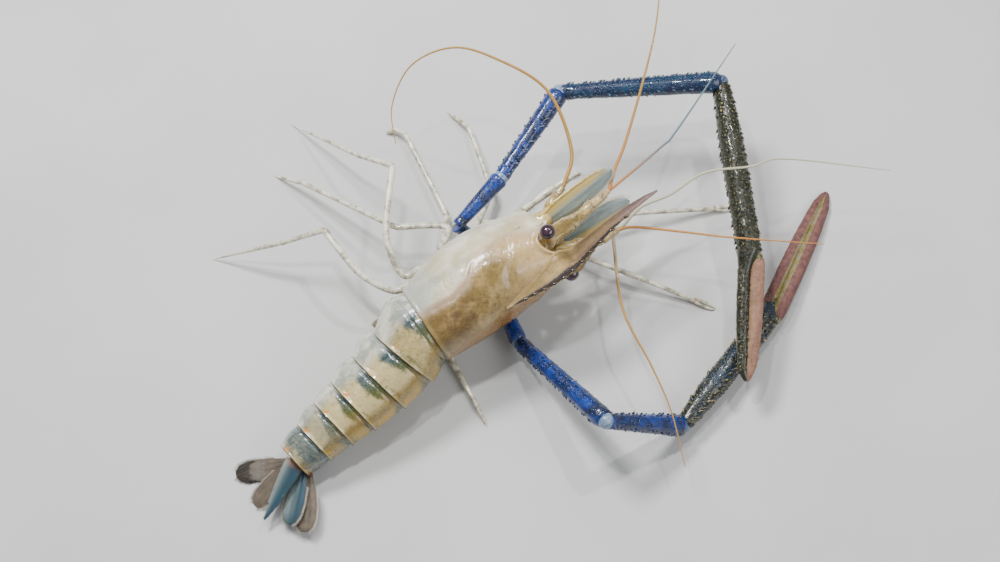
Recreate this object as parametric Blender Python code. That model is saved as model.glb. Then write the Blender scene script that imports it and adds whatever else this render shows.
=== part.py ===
"""Giant river prawn, a large blue-clawed male, as a still, life-size model.

It lies partly rolled on its right side with its head raised, one long claw bent out over the
floor and the other passing under the body. Sizes are in millimetres until a mesh is made, and
the finished part stands on Z = 0 with its origin under the middle of its box.
"""

import random
from math import cos, pi, radians, sin

import bmesh
import bpy
from mathutils import Matrix, Vector

MM = 0.001
GAP = 0.3

# Carapace: its frame starts at the middle of its rear edge.
BODY_START = Vector((-35.9, -34.4, 29.5))
BODY_HEADING = 32.5
BODY_PITCH = 10.5
BODY_ROLL = 26.0
CARAPACE_LENGTH = 73.0
SHELL_OPEN_ANGLE = 134.0
SHELL_EDGE = 1.1
# How far below the middle line the hollow of the belly lies, as a share of the belly depth.
BELLY_HOLLOW = 0.56

# Distance from the rear edge, back height, belly depth and half width of the carapace.
CARAPACE_SECTIONS = (
    (0.0, 20.5, 20.0, 19.0),
    (5.0, 21.5, 22.5, 20.4),
    (15.0, 21.6, 26.5, 22.0),
    (28.0, 21.2, 29.8, 23.0),
    (40.0, 20.6, 30.3, 23.0),
    (50.0, 20.2, 28.0, 21.5),
    (60.0, 19.8, 25.0, 19.2),
    (68.0, 19.2, 22.0, 17.0),
    (73.0, 18.2, 19.5, 15.4),
)
FACE_RECESS = 5.0
# Where the notches for the eyes begin to draw the shell back, forward of the rear edge.
ORBIT_START = 58.0

# How far the front edge of the carapace stands forward, by angle from the back: the root of the
# rostrum, the notch of the orbit, the spine under it and the sloping cheek.
FRONT_EDGE = (
    (0.0, 1.5),
    (22.0, 0.0),
    (36.0, -4.6),
    (48.0, -6.6),
    (60.0, -6.4),
    (70.0, -2.6),
    (76.0, 1.2),
    (80.0, 3.2),
    (92.0, -0.6),
    (134.0, -3.0),
)

# Spines on each cheek: distance from the rear edge, angle from the back and height.
CHEEK_SPINES = ((70.5, 80.0, 3.4), (61.0, 92.0, 2.8))

# Each abdominal ring, from the front: length, heading and drop of its middle line as it runs
# back, then roll, back height, belly depth and half width at its rear, and its lobe's depth.
ABDOMEN_RINGS = (
    (17.2, -129.0, -20.0, 29.0, 19.4, 17.6, 17.0, 0.14),
    (17.0, -134.0, -15.0, 33.0, 18.4, 17.0, 15.8, 0.30),
    (16.8, -137.0, -11.0, 38.0, 16.6, 15.6, 14.0, 0.26),
    (12.6, -138.0, -9.0, 43.0, 14.2, 13.6, 12.3, 0.22),
    (12.6, -136.0, -8.0, 48.0, 12.2, 11.6, 10.6, 0.26),
    (14.0, -138.0, -9.0, 56.0, 9.0, 8.6, 8.2, 0.04),
)
ABDOMEN_FRONT = (19.6, 18.4, 18.0)

FLOOR = 0.0
SHARP_ANGLE = 40.0

# A spine is a cone with this many sides, sunk by this share of its height.
SPINE_SIDES = 5
SPINE_ROOT = 0.6


def direction(heading, elevation):
    """Unit vector for a heading round +Z from +X and an elevation above the floor, in degrees."""
    turn = radians(heading)
    rise = radians(elevation)
    return Vector((cos(turn) * cos(rise), sin(turn) * cos(rise), sin(rise)))


def body_axes(heading, pitch, roll):
    """Forward, back and left directions of a body that is rolled on to its right side."""
    forward = direction(heading, pitch)
    aside = direction(heading - 90.0, 0.0)
    up = aside.cross(forward)
    tilt = radians(roll)
    back = aside * cos(tilt) + up * sin(tilt)
    left = back.cross(forward)
    return forward, back, left


FORWARD, BACK, LEFT = body_axes(BODY_HEADING, BODY_PITCH, BODY_ROLL)


def body_point(along, high, left):
    """Point of the carapace's frame: forward of its rear edge, toward the back, to the left."""
    return BODY_START + FORWARD * along + BACK * high + LEFT * left


def interpolate(table, place):
    """Row of a table of sizes at a place, eased between the rows on either side."""
    rows = list(table)
    place = min(max(place, rows[0][0]), rows[-1][0])
    for low, high in zip(rows, rows[1:]):
        if place <= high[0]:
            share = (place - low[0]) / (high[0] - low[0])
            return [a + (b - a) * share for a, b in zip(low[1:], high[1:])]
    return list(rows[-1][1:])


def eased(points, steps):
    """Points of a smooth curve through the given points, with steps in each span."""
    ends = [points[0] * 2 - points[1]] + list(points) + [points[-1] * 2 - points[-2]]
    out = []
    for before, start, end, after in zip(ends, ends[1:], ends[2:], ends[3:]):
        for step in range(steps):
            t = step / steps
            out.append(
                (
                    start * 2
                    + (end - before) * t
                    + (before * 2 - start * 5 + end * 4 - after) * t * t
                    + (start * 3 - before - end * 3 + after) * t * t * t
                )
                * 0.5
            )
    out.append(points[-1])
    return out


def chain(start, spans):
    """Points of a limb from its root: each span is a length, a heading and an elevation."""
    points = [Vector(start)]
    for length, heading, elevation in spans:
        points.append(points[-1] + direction(heading, elevation) * length)
    return points


def clear_scene():
    for old in list(bpy.data.objects):
        bpy.data.objects.remove(old, do_unlink=True)


def new_collection(name):
    group = bpy.data.collections.new(name)
    bpy.context.scene.collection.children.link(group)
    return group


def material(name, colour, roughness):
    made = bpy.data.materials.get(name)
    if made is None:
        made = bpy.data.materials.new(name)
        made.use_nodes = True
        shader = made.node_tree.nodes["Principled BSDF"]
        shader.inputs["Base Color"].default_value = (*colour, 1.0)
        shader.inputs["Roughness"].default_value = roughness
        shader.inputs["Metallic"].default_value = 0.0
    return made


FINISHES = {
    "shell": ((0.62, 0.52, 0.36), 0.25),
    "abdomen": ((0.55, 0.47, 0.27), 0.25),
    "tail": ((0.30, 0.32, 0.33), 0.3),
    "arm": ((0.02, 0.09, 0.33), 0.35),
    "claw": ((0.03, 0.035, 0.03), 0.45),
    "felt": ((0.42, 0.20, 0.15), 0.9),
    "leg": ((0.75, 0.71, 0.60), 0.4),
    "feeler": ((0.62, 0.42, 0.20), 0.5),
    "scale": ((0.42, 0.47, 0.46), 0.3),
    "eye": ((0.05, 0.025, 0.03), 0.08),
}


def finish_object(name, mesh, finish, group):
    colour, roughness = FINISHES[finish]
    mesh.materials.clear()
    mesh.materials.append(material(finish, colour, roughness))
    group.objects.link(bpy.data.objects.new(name, mesh))
    mesh.shade_smooth()
    mesh.set_sharp_from_angle(angle=radians(SHARP_ANGLE))


def loft_mesh(name, rings, twin_faces=False):
    """Closed mesh through rings of points, capped at both ends round a middle point."""
    body = bmesh.new()
    count = len(rings[0])
    rows = [[body.verts.new(point * MM) for point in ring] for ring in rings]
    for low, high in zip(rows, rows[1:]):
        for i in range(count):
            j = (i + 1) % count
            if twin_faces and i >= count // 2:
                body.faces.new((low[i], low[j], high[i]))
                body.faces.new((low[j], high[j], high[i]))
            else:
                body.faces.new((low[i], low[j], high[j]))
                body.faces.new((low[i], high[j], high[i]))
    for row, ring in ((rows[0], rings[0]), (rows[-1], rings[-1])):
        middle = sum(ring, Vector()) / count
        hub = body.verts.new(middle * MM)
        for i in range(count):
            body.faces.new((row[i], row[(i + 1) % count], hub))
    bmesh.ops.recalc_face_normals(body, faces=body.faces)
    mesh = bpy.data.meshes.new(name)
    body.to_mesh(mesh)
    body.free()
    return mesh


def rod_mesh(name, points, radii, sides):
    """Closed mesh of a round tapering rod along points, from a bevelled curve."""
    curve = bpy.data.curves.new(name + "_path", "CURVE")
    curve.dimensions = "3D"
    curve.bevel_depth = MM
    curve.bevel_resolution = (sides - 4) // 2
    curve.use_fill_caps = True
    spline = curve.splines.new("POLY")
    spline.points.add(len(points) - 1)
    for knot, point, radius in zip(spline.points, points, radii):
        knot.co = (*(point * MM), 1.0)
        knot.radius = radius
    path = bpy.data.objects.new(name + "_path", curve)
    bpy.context.scene.collection.objects.link(path)
    view = bpy.context.evaluated_depsgraph_get()
    mesh = bpy.data.meshes.new_from_object(path.evaluated_get(view))
    bpy.data.objects.remove(path, do_unlink=True)
    bpy.data.curves.remove(curve)
    body = bmesh.new()
    body.from_mesh(mesh)
    bmesh.ops.remove_doubles(body, verts=body.verts, dist=0.005 * MM)
    bmesh.ops.recalc_face_normals(body, faces=body.faces)
    body.to_mesh(mesh)
    body.free()
    mesh.name = name
    return mesh


def trim(mesh, point, outward):
    """Cut a closed mesh by a plane, drop what lies outward of it and close the cut."""
    body = bmesh.new()
    body.from_mesh(mesh)
    everything = body.verts[:] + body.edges[:] + body.faces[:]
    cut = bmesh.ops.bisect_plane(
        body,
        geom=everything,
        dist=0.0005 * MM,
        plane_co=point * MM,
        plane_no=outward,
        clear_outer=True,
    )
    edges = [part for part in cut["geom_cut"] if isinstance(part, bmesh.types.BMEdge)]
    if edges:
        bmesh.ops.holes_fill(body, edges=edges, sides=0)
    bmesh.ops.remove_doubles(body, verts=body.verts, dist=0.01 * MM)
    bmesh.ops.recalc_face_normals(body, faces=body.faces)
    body.to_mesh(mesh)
    body.free()


def set_on_floor(mesh):
    """Flatten whatever of a mesh would pass below the floor."""
    if min(vertex.co.z for vertex in mesh.vertices) < FLOOR * MM:
        trim(mesh, Vector((0.0, 0.0, FLOOR)), Vector((0.0, 0.0, -1.0)))


def rod(name, points, radii, sides, finish, group, cuts=()):
    mesh = rod_mesh(name, points, radii, sides)
    for point, outward in cuts:
        trim(mesh, point, outward)
    set_on_floor(mesh)
    finish_object(name, mesh, finish, group)


def spine_mesh(name, spines):
    """Closed mesh of many pointed spines: each has a foot, a direction, a height and a radius."""
    body = bmesh.new()
    for foot, pointing, height, radius in spines:
        aside = pointing.orthogonal().normalized()
        other = pointing.cross(aside)
        sunk = foot - pointing * (SPINE_ROOT * height)
        hub = body.verts.new(sunk * MM)
        tip = body.verts.new((foot + pointing * height) * MM)
        ring = []
        for i in range(SPINE_SIDES):
            turn = 2.0 * pi * i / SPINE_SIDES
            edge = aside * cos(turn) + other * sin(turn)
            ring.append(body.verts.new((sunk + edge * (radius * (1.0 + SPINE_ROOT))) * MM))
        for i in range(SPINE_SIDES):
            following = ring[(i + 1) % SPINE_SIDES]
            body.faces.new((ring[i], following, tip))
            body.faces.new((following, ring[i], hub))
    bmesh.ops.recalc_face_normals(body, faces=body.faces)
    mesh = bpy.data.meshes.new(name)
    body.to_mesh(mesh)
    body.free()
    return mesh


def keep_largest(mesh):
    """Keep only the largest closed surface of a mesh."""
    body = bmesh.new()
    body.from_mesh(mesh)
    unseen = set(body.verts)
    islands = []
    while unseen:
        island = set()
        front = [unseen.pop()]
        while front:
            vertex = front.pop()
            island.add(vertex)
            for edge in vertex.link_edges:
                other = edge.other_vert(vertex)
                if other in unseen:
                    unseen.remove(other)
                    front.append(other)
        islands.append(island)
    islands.sort(key=len, reverse=True)
    loose = [vertex for island in islands[1:] for vertex in island]
    bmesh.ops.delete(body, geom=loose, context="VERTS")
    bmesh.ops.triangulate(body, faces=body.faces)
    bmesh.ops.dissolve_degenerate(body, dist=0.001 * MM, edges=body.edges)
    body.to_mesh(mesh)
    body.free()


def fuse(mesh, additions):
    """Join closed meshes to a closed mesh by one Boolean union and give the mesh back."""
    extra = new_collection("additions")
    base = bpy.data.objects.new("base", mesh)
    bpy.context.scene.collection.objects.link(base)
    pieces = [bpy.data.objects.new("addition", addition) for addition in additions]
    for piece in pieces:
        extra.objects.link(piece)
        piece.hide_render = True
        piece.display_type = "WIRE"
    union = base.modifiers.new("union", "BOOLEAN")
    union.operation = "UNION"
    union.operand_type = "COLLECTION"
    union.collection = extra
    union.solver = "MANIFOLD"
    view = bpy.context.evaluated_depsgraph_get()
    joined = bpy.data.meshes.new_from_object(base.evaluated_get(view))
    name = mesh.name
    for piece in [base] + pieces:
        bpy.data.objects.remove(piece, do_unlink=True)
    bpy.data.collections.remove(extra)
    bpy.data.meshes.remove(mesh)
    joined.name = name
    keep_largest(joined)
    return joined


def shell_ring(centre, back, left, top, bottom, half_width, arc_steps):
    """Section of a body shell: an arch over the back, blunt lower edges and a hollow belly."""
    opening = radians(SHELL_OPEN_ANGLE)
    ring = []
    for step in range(arc_steps + 1):
        angle = -opening + 2.0 * opening * step / arc_steps
        height = cos(angle) * (top if cos(angle) > 0.0 else bottom)
        ring.append(centre + left * (sin(angle) * half_width) + back * height)
    edge_height = cos(opening) * bottom
    edge_width = sin(opening) * half_width
    for width, height in (
        (edge_width - SHELL_EDGE, edge_height + 0.2 * SHELL_EDGE),
        (0.5 * half_width, -BELLY_HOLLOW * bottom),
        (0.0, -0.86 * BELLY_HOLLOW * bottom),
        (-0.5 * half_width, -BELLY_HOLLOW * bottom),
        (SHELL_EDGE - edge_width, edge_height + 0.2 * SHELL_EDGE),
    ):
        ring.append(centre + left * width + back * height)
    return ring


def make_carapace(group):
    steps = 24
    stations = (0.0, 1.5, 5.0, 10.0, 16.0, 23.0, 31.0, 39.0, 46.0, 53.0, 60.0, 66.0, 70.0)
    rings = []
    for along in stations:
        top, bottom, half_width = interpolate(CARAPACE_SECTIONS, along)
        ring = shell_ring(
            body_point(along, 0.0, 0.0), BACK, LEFT, top, bottom, half_width, steps
        )
        share = max(0.0, (along - ORBIT_START) / (CARAPACE_LENGTH - ORBIT_START))
        for i in range(steps + 1):
            angle = abs(-SHELL_OPEN_ANGLE + 2.0 * SHELL_OPEN_ANGLE * i / steps)
            ring[i] += FORWARD * (share * min(0.0, interpolate(FRONT_EDGE, angle)[0]))
        rings.append(ring)
    top, bottom, half_width = CARAPACE_SECTIONS[-1][1:]
    rim = shell_ring(
        body_point(CARAPACE_LENGTH, 0.0, 0.0), BACK, LEFT, top, bottom, half_width, steps
    )
    for i, point in enumerate(rim):
        if i <= steps:
            angle = abs(-SHELL_OPEN_ANGLE + 2.0 * SHELL_OPEN_ANGLE * i / steps)
            point += FORWARD * interpolate(FRONT_EDGE, angle)[0]
    rings.append(rim)
    inner = []
    hub = body_point(CARAPACE_LENGTH, 0.0, 0.0)
    for point in rim:
        aside = point - hub
        aside -= FORWARD * aside.dot(FORWARD)
        inner.append(point - aside * 0.08)
    rings.append(inner)
    face = body_point(CARAPACE_LENGTH - FACE_RECESS, 0.0, 0.0)
    socket = []
    for point in inner:
        aside = point - face
        aside -= FORWARD * aside.dot(FORWARD)
        socket.append(face + aside * 0.97)
    rings.append(socket)
    mesh = loft_mesh("carapace", rings)
    spines = []
    for along, angle, height in CHEEK_SPINES:
        top, bottom, half_width = interpolate(CARAPACE_SECTIONS, along)
        rise = cos(radians(angle))
        high = rise * (top if rise > 0.0 else bottom) * 0.97
        for side in (1.0, -1.0):
            foot = body_point(along, high, side * sin(radians(angle)) * half_width * 0.97)
            pointing = (FORWARD * 0.94 + LEFT * (side * 0.34)).normalized()
            spines.append((foot, pointing, height, 0.3 * height))
    mesh = fuse(mesh, [spine_mesh("cheek_spines", spines)])
    set_on_floor(mesh)
    finish_object("carapace", mesh, "shell", group)


def abdomen_frames():
    """For each joint of the abdomen: centre, forward, back, left and its section's sizes."""
    start = BODY_START - FORWARD * (0.5 * GAP)
    frames = [(start, FORWARD, BACK, LEFT, ABDOMEN_FRONT)]
    centre = BODY_START
    followers = ABDOMEN_RINGS[1:] + ABDOMEN_RINGS[-1:]
    for ring, following in zip(ABDOMEN_RINGS, followers):
        length, heading, drop, roll = ring[:4]
        centre = centre + direction(heading, drop) * length
        heading = 0.5 * (heading + following[1])
        drop = 0.5 * (drop + following[2])
        frames.append((centre, *body_axes(heading - 180.0, -drop, roll), ring[4:7]))
    return frames


def ring_frame(frames, index, share):
    """Frame and section sizes a share of the way back along one ring of the abdomen."""
    front, rear = frames[index], frames[index + 1]
    span = (front[0] - rear[0]).length
    before = front[0] - front[1] * span * 0.33
    after = rear[0] + rear[1] * span * 0.33
    t = share
    centre = (
        front[0] * (1 - t) ** 3
        + before * 3 * t * (1 - t) ** 2
        + after * 3 * t * t * (1 - t)
        + rear[0] * t ** 3
    )
    forward = (front[1] * (1 - t) + rear[1] * t).normalized()
    back = front[2] * (1 - t) + rear[2] * t
    back = (back - forward * back.dot(forward)).normalized()
    left = back.cross(forward)
    size = [a * (1 - t) + b * t for a, b in zip(front[4], rear[4])]
    return centre, forward, back, left, size


def make_abdomen(group):
    frames = abdomen_frames()
    for index, ring in enumerate(ABDOMEN_RINGS):
        length, lobe = ring[0], ring[7]
        inset = 0.5 * GAP / length
        rings = []
        for step in range(7):
            share = step / 6.0
            place = inset + (1.0 - 2.0 * inset) * share
            centre, forward, back, left, size = ring_frame(frames, index, place)
            top, bottom, half_width = size
            swell = 0.975 + 0.05 * sin(0.5 * pi * share)
            deep = 1.0 + lobe * sin(pi * min(1.0, 0.12 + 0.88 * share)) ** 0.8
            rings.append(
                shell_ring(
                    centre, back, left, top * swell, bottom * deep, half_width * swell, 16
                )
            )
        name = "abdomen_%d" % (index + 1)
        mesh = loft_mesh(name, rings)
        set_on_floor(mesh)
        finish_object(name, mesh, "abdomen", group)
    return frames


# Section of a blade: share of its half width and rise as a share of its thickness, over the
# ribbed upper face and back along the flat lower one.
BLADE_SECTION = (
    (-1.0, 0.5), (-0.5, 0.8), (0.0, 1.25), (0.5, 0.8), (1.0, 0.5),
    (1.0, -0.5), (0.5, -0.5), (0.0, -0.5), (-0.5, -0.5), (-1.0, -0.5),
)


def blade(name, root, along, across, spans, finish, group, cuts=()):
    """Thin leaf-shaped plate with a raised midrib: spans hold place, half width and thickness."""
    normal = along.cross(across).normalized()
    if normal.z < 0.0:
        normal = -normal
    rings = []
    for place, half_width, thickness in spans:
        centre = root + along * place
        rings.append(
            [
                centre + across * (share * half_width) + normal * (rise * thickness)
                for share, rise in BLADE_SECTION
            ]
        )
    mesh = loft_mesh(name, rings, twin_faces=True)
    for point, outward in cuts:
        trim(mesh, point, outward)
    set_on_floor(mesh)
    finish_object(name, mesh, finish, group)


# Tail fan: its middle line and tilt, then each blade's turn from that line, its layer below the
# telson, the left place of its root and its size.
FAN_HEADING = -118.0
FAN_DROP = -12.0
FAN_TILT = 16.0
FAN = (
    ("telson", 0.0, 0.0, 0.0, 1.0),
    ("uropod_inner_left", -15.0, 4.1, 3.2, 0.92),
    ("uropod_inner_right", 15.0, 4.1, -3.2, 0.92),
    ("uropod_outer_left", -50.0, 6.8, 4.2, 1.0),
    ("uropod_outer_right", 28.0, 6.8, -4.2, 1.0),
)
# Distance along a blade from its root, half width and thickness.
FAN_SPANS = (
    (-4.0, 1.9, 1.3),
    (5.0, 3.0, 1.2),
    (12.0, 4.8, 1.1),
    (20.0, 5.6, 1.0),
    (27.0, 5.2, 0.9),
    (31.0, 3.6, 0.8),
    (33.0, 1.6, 0.7),
)
TELSON_SPANS = (
    (-4.0, 5.4, 3.8),
    (6.0, 5.2, 3.2),
    (14.0, 4.2, 2.4),
    (22.0, 3.0, 1.6),
    (31.0, 0.7, 0.8),
)


def make_tail(frames, group):
    centre, forward, back, left = frames[-1][:4]
    middle = direction(FAN_HEADING, FAN_DROP)
    level = direction(FAN_HEADING - 90.0, 0.0)
    upright = level.cross(middle)
    across = level * cos(radians(FAN_TILT)) - upright * sin(radians(FAN_TILT))
    normal = across.cross(middle).normalized()
    if normal.z < 0.0:
        normal = -normal
    for name, turn, layer, aside, size in FAN:
        along = Matrix.Rotation(radians(turn), 3, normal) @ middle
        spans = TELSON_SPANS if name == "telson" else FAN_SPANS
        spans = [(place * size, half * size, thick) for place, half, thick in spans]
        root = centre + back * 2.6 - normal.cross(middle) * aside - normal * layer
        cut = ((centre - forward * GAP, forward),)
        blade(name, root, along, normal.cross(along), spans, "tail", group, cut)


# Breast plate: place along the carapace and size as a share of its largest.
STERNUM_SIZES = ((2.0, 0.62), (12.0, 0.84), (28.0, 1.0), (44.0, 1.0), (56.0, 0.82), (64.0, 0.6))
STERNUM_EDGE_DEPTH = 4.5
STERNUM_DEPTH = 10.0
STERNUM_HALF = 9.5
STERNUM_FOOT_HALF = 4.5


def sternum_ring(along):
    size = interpolate(STERNUM_SIZES, along)[0]
    belly = interpolate(CARAPACE_SECTIONS, along)[1]
    top = -BELLY_HOLLOW * belly - GAP
    corners = (
        (top, 0.8 * STERNUM_HALF),
        (top - STERNUM_EDGE_DEPTH * size, STERNUM_HALF),
        (top - STERNUM_DEPTH * size, STERNUM_FOOT_HALF),
        (top - STERNUM_DEPTH * size, -STERNUM_FOOT_HALF),
        (top - STERNUM_EDGE_DEPTH * size, -STERNUM_HALF),
        (top, -0.8 * STERNUM_HALF),
    )
    return [body_point(along, high, left * size) for high, left in corners]


def leg_root(along, side):
    """Middle of the breast plate's sloping side where a leg starts, and its outward direction."""
    edge, foot = (1, 2) if side > 0 else (4, 3)
    ahead, behind = sternum_ring(along + 1.0), sternum_ring(along - 1.0)
    middle = (ahead[edge] + ahead[foot] + behind[edge] + behind[foot]) * 0.25
    run = ahead[edge] + ahead[foot] - behind[edge] - behind[foot]
    slope = sternum_ring(along)[edge] - sternum_ring(along)[foot]
    outward = slope.cross(run).normalized()
    if outward.dot(LEFT) * side < 0.0:
        outward = -outward
    return middle + outward * GAP, outward


def make_sternum(group):
    rings = [sternum_ring(along) for along, size in STERNUM_SIZES]
    finish_object("sternum", loft_mesh("sternum", rings), "leg", group)


# Rostrum: distance along the carapace's frame, height of its lower and upper edge, half width.
ROSTRUM_SPANS = (
    (36.0, 21.2, 21.9, 0.5),
    (46.0, 20.9, 23.6, 0.9),
    (58.0, 20.4, 25.6, 1.3),
    (68.0, 19.7, 26.0, 1.7),
    (75.5, 18.9, 24.8, 2.0),
    (80.0, 16.6, 23.2, 2.0),
    (88.0, 14.2, 20.6, 1.8),
    (100.0, 11.6, 17.0, 1.4),
    (112.0, 10.2, 14.6, 1.0),
    (121.0, 10.6, 13.6, 0.7),
    (127.5, 12.2, 12.9, 0.35),
)


UPPER_TEETH = (46.0, 51.0, 56.0, 61.0, 66.5, 72.0, 78.0, 84.0, 90.5, 98.0, 107.0)
LOWER_TEETH = (84.0, 89.0, 94.0, 99.0, 104.0, 109.0, 114.0, 119.0)


def make_rostrum(group):
    rings = []
    for along, low, high, half_width in ROSTRUM_SPANS:
        middle = 0.5 * (low + high)
        rings.append(
            [
                body_point(along, height, width)
                for height, width in (
                    (high, 0.0),
                    (middle + 0.2 * (high - low), half_width * 0.6),
                    (middle - 0.1 * (high - low), half_width),
                    (low, 0.5 * half_width),
                    (low, -0.5 * half_width),
                    (middle - 0.1 * (high - low), -half_width),
                    (middle + 0.2 * (high - low), -half_width * 0.6),
                )
            ]
        )
    teeth = []
    for edge, places, lean, height in (
        (1, UPPER_TEETH, 0.62, 2.4),
        (0, LOWER_TEETH, -0.7, 1.9),
    ):
        for along in places:
            spans = interpolate(ROSTRUM_SPANS, along)
            foot = body_point(along, spans[edge] - lean * 0.4, 0.0)
            pointing = (FORWARD + BACK * lean).normalized()
            teeth.append((foot, pointing, height, 0.36 * height))
    mesh = fuse(loft_mesh("rostrum", rings), [spine_mesh("teeth", teeth)])
    finish_object("rostrum", mesh, "shell", group)


FACE = CARAPACE_LENGTH - FACE_RECESS + GAP
EYE_RADIUS = 3.5
EYE_STALK_RADIUS = 2.1


def make_eyes(group):
    for side, name in ((1, "eye_left"), (-1, "eye_right")):
        root = body_point(FACE, 9.5, side * 5.5)
        bend = body_point(CARAPACE_LENGTH - 1.2, 9.8, side * 8.5)
        ball = body_point(CARAPACE_LENGTH - 0.7, 10.5, side * 16.4)
        outward = (ball - bend).normalized()
        points = [root - FORWARD, root, bend, bend.lerp(ball, 0.4)]
        radii = [EYE_STALK_RADIUS] * 4
        for step in range(1, 5):
            angle = pi * (0.28 + 0.175 * step)
            points.append(ball - outward * (EYE_RADIUS * cos(angle)))
            radii.append(EYE_RADIUS * sin(angle))
        rod(name, points, radii, 12, "eye", group, ((root, -FORWARD),))


# Antennal scale: distance along it, half width and thickness.
SCALE_SPANS = (
    (-4.0, 2.2, 1.3),
    (1.0, 2.4, 1.3),
    (6.0, 4.6, 1.1),
    (16.0, 6.2, 0.9),
    (28.0, 6.2, 0.8),
    (38.0, 5.0, 0.8),
    (44.0, 3.2, 0.7),
    (47.0, 1.4, 0.6),
)
SCALE_TILT = radians(16.0)


def make_scales(group):
    for side, name in ((1, "antennal_scale_left"), (-1, "antennal_scale_right")):
        root = body_point(FACE, -3.2, side * 8.6)
        tip = body_point(120.0, -6.0, side * 11.5)
        along = (tip - root).normalized()
        across = LEFT * cos(SCALE_TILT) - BACK * (side * sin(SCALE_TILT))
        across = (across - along * across.dot(along)).normalized()
        cut = ((body_point(FACE, 0.0, 0.0), -FORWARD),)
        blade(name, root, along, across, SCALE_SPANS, "scale", group, cut)


WHIP_TIP = 0.3


def feeler(name, lead, spans, thick, branch, group):
    """Jointed stalk and long whip in one, with a second whip where branch gives its spans."""
    points = [point for point, radius in lead]
    radii = [radius for point, radius in lead]
    knuckle = points[-2]
    whip = eased(chain(points[-1], spans), 3)
    total = len(whip) - 1
    for i, point in enumerate(whip[1:]):
        points.append(point)
        radii.append(thick + (WHIP_TIP - thick) * (i + 1) / total)
    mesh = rod_mesh(name, points, radii, 6)
    if branch:
        fork = eased(chain(knuckle, branch), 3)
        taper = [0.8 + (WHIP_TIP - 0.8) * i / (len(fork) - 1) for i in range(len(fork))]
        mesh = fuse(mesh, [rod_mesh("fork", fork, taper, 6)])
    set_on_floor(mesh)
    finish_object(name, mesh, "feeler", group)


# Each feeler: the points and radii of its jointed stalk, the spans of its whip, the whip's
# radius where it starts and the spans of its second whip. Points are along, high and left.
FEELERS = (
    (
        "antennule_left",
        ((0.0, 3.6, 3.4, 2.2), (3.0, 3.6, 3.4, 2.2), (16.7, 2.2, 3.6, 2.4), (29.7, -0.5, 3.6, 2.0),
         (37.7, -2.0, 3.2, 1.7), (40.7, -2.4, 3.2, 1.0)),
        ((11.3, 74, 15), (12.9, 67, 18), (30.8, 73, 15), (26.4, 76, 9), (22.6, 82, 0),
         (15.5, 86, -7)),
        0.9,
        ((36.5, 41, 3.5), (12.4, 47, 7), (55.9, 57, 1.5)),
    ),
    (
        "antennule_right",
        ((0.0, 3.6, -3.4, 2.2), (3.0, 3.6, -3.4, 2.2), (14.0, 7.0, -6.5, 2.4),
         (25.0, 9.4, -9.6, 2.0), (33.0, 8.8, -11.0, 1.7), (36.0, 8.4, -11.6, 1.0)),
        ((13.8, 43, 21), (15.7, 21, 11), (19.6, 32, 6), (22.5, 8, 1), (17.7, 16, -5),
         (53.2, -2, -10)),
        0.9,
        ((9.3, 9, 9), (24.1, -8, 4), (22.5, -8, 2), (46.5, 0, -10)),
    ),
    (
        "antenna_left",
        ((0.0, -7.6, 6.8, 1.9), (6.5, -7.6, 6.8, 1.9), (13.7, -10.2, 9.0, 2.6),
         (19.7, -12.0, 11.5, 2.0), (23.7, -12.5, 12.5, 1.2)),
        ((19.0, 78, 12), (31.0, 114, 20), (30.0, 151, 12), (22.0, 161, -8), (22.0, -164, -21),
         (22.0, -121, -33), (19.0, -84, -19)),
        1.0,
        (),
    ),
    (
        "antenna_right",
        ((0.0, -7.6, -6.8, 1.9), (6.5, -7.6, -6.8, 1.9), (13.7, -10.2, -9.0, 2.6),
         (19.7, -12.0, -11.5, 2.0), (23.7, -12.5, -12.5, 1.2)),
        ((8.0, 10, -1), (8.0, -35, 0), (43.0, -84, 0), (32.2, -66, -2), (23.8, -68, -5),
         (27.3, -76, -14)),
        1.0,
        (),
    ),
)


def make_feelers(group):
    for name, stalk, spans, thick, branch in FEELERS:
        lead = [(body_point(FACE + place[0], *place[1:3]), place[3]) for place in stalk]
        feeler(name, lead, spans, thick, branch, group)


def make_maxillipeds(group):
    for side, name in ((1, "maxilliped_left"), (-1, "maxilliped_right")):
        root, outward = leg_root(59.0, side)
        points = [
            root,
            root + outward * 2.5,
            body_point(70.0, -20.0, side * 7.5),
            body_point(87.0, -21.5, side * 6.8),
            body_point(99.0, -21.0, side * 6.8),
            body_point(103.0, -20.5, side * 6.8),
        ]
        radii = [1.8, 1.9, 2.2, 1.9, 1.3, 0.5]
        rod(name, points, radii, 8, "leg", group)


def joint_plane(before, joint, after):
    """Direction square to the plane that shares a bend evenly between two segments."""
    return ((joint - before).normalized() + (after - joint).normalized()).normalized()


# Walking legs that are one node and end in a small pincer: root, side and spans.
FIRST_LEGS = (
    (
        "leg_1_left", 50.0, 1,
        ((25.0, 23, -35), (26.7, 8, -19), (36.1, 10, -6), (38.0, 8, -11), (11.0, 8, -11)),
    ),
    (
        "leg_1_right", 50.0, -1,
        ((32.3, 6, -16), (39.9, -21, -4), (31.5, -20, -10), (11.0, -20, -10)),
    ),
)
FIRST_LEG_STEP = 4.0
FIRST_LEG_RADIUS = 2.0
PINCER_RADIUS = 1.35
PINCER_SPREAD = 0.9

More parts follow.
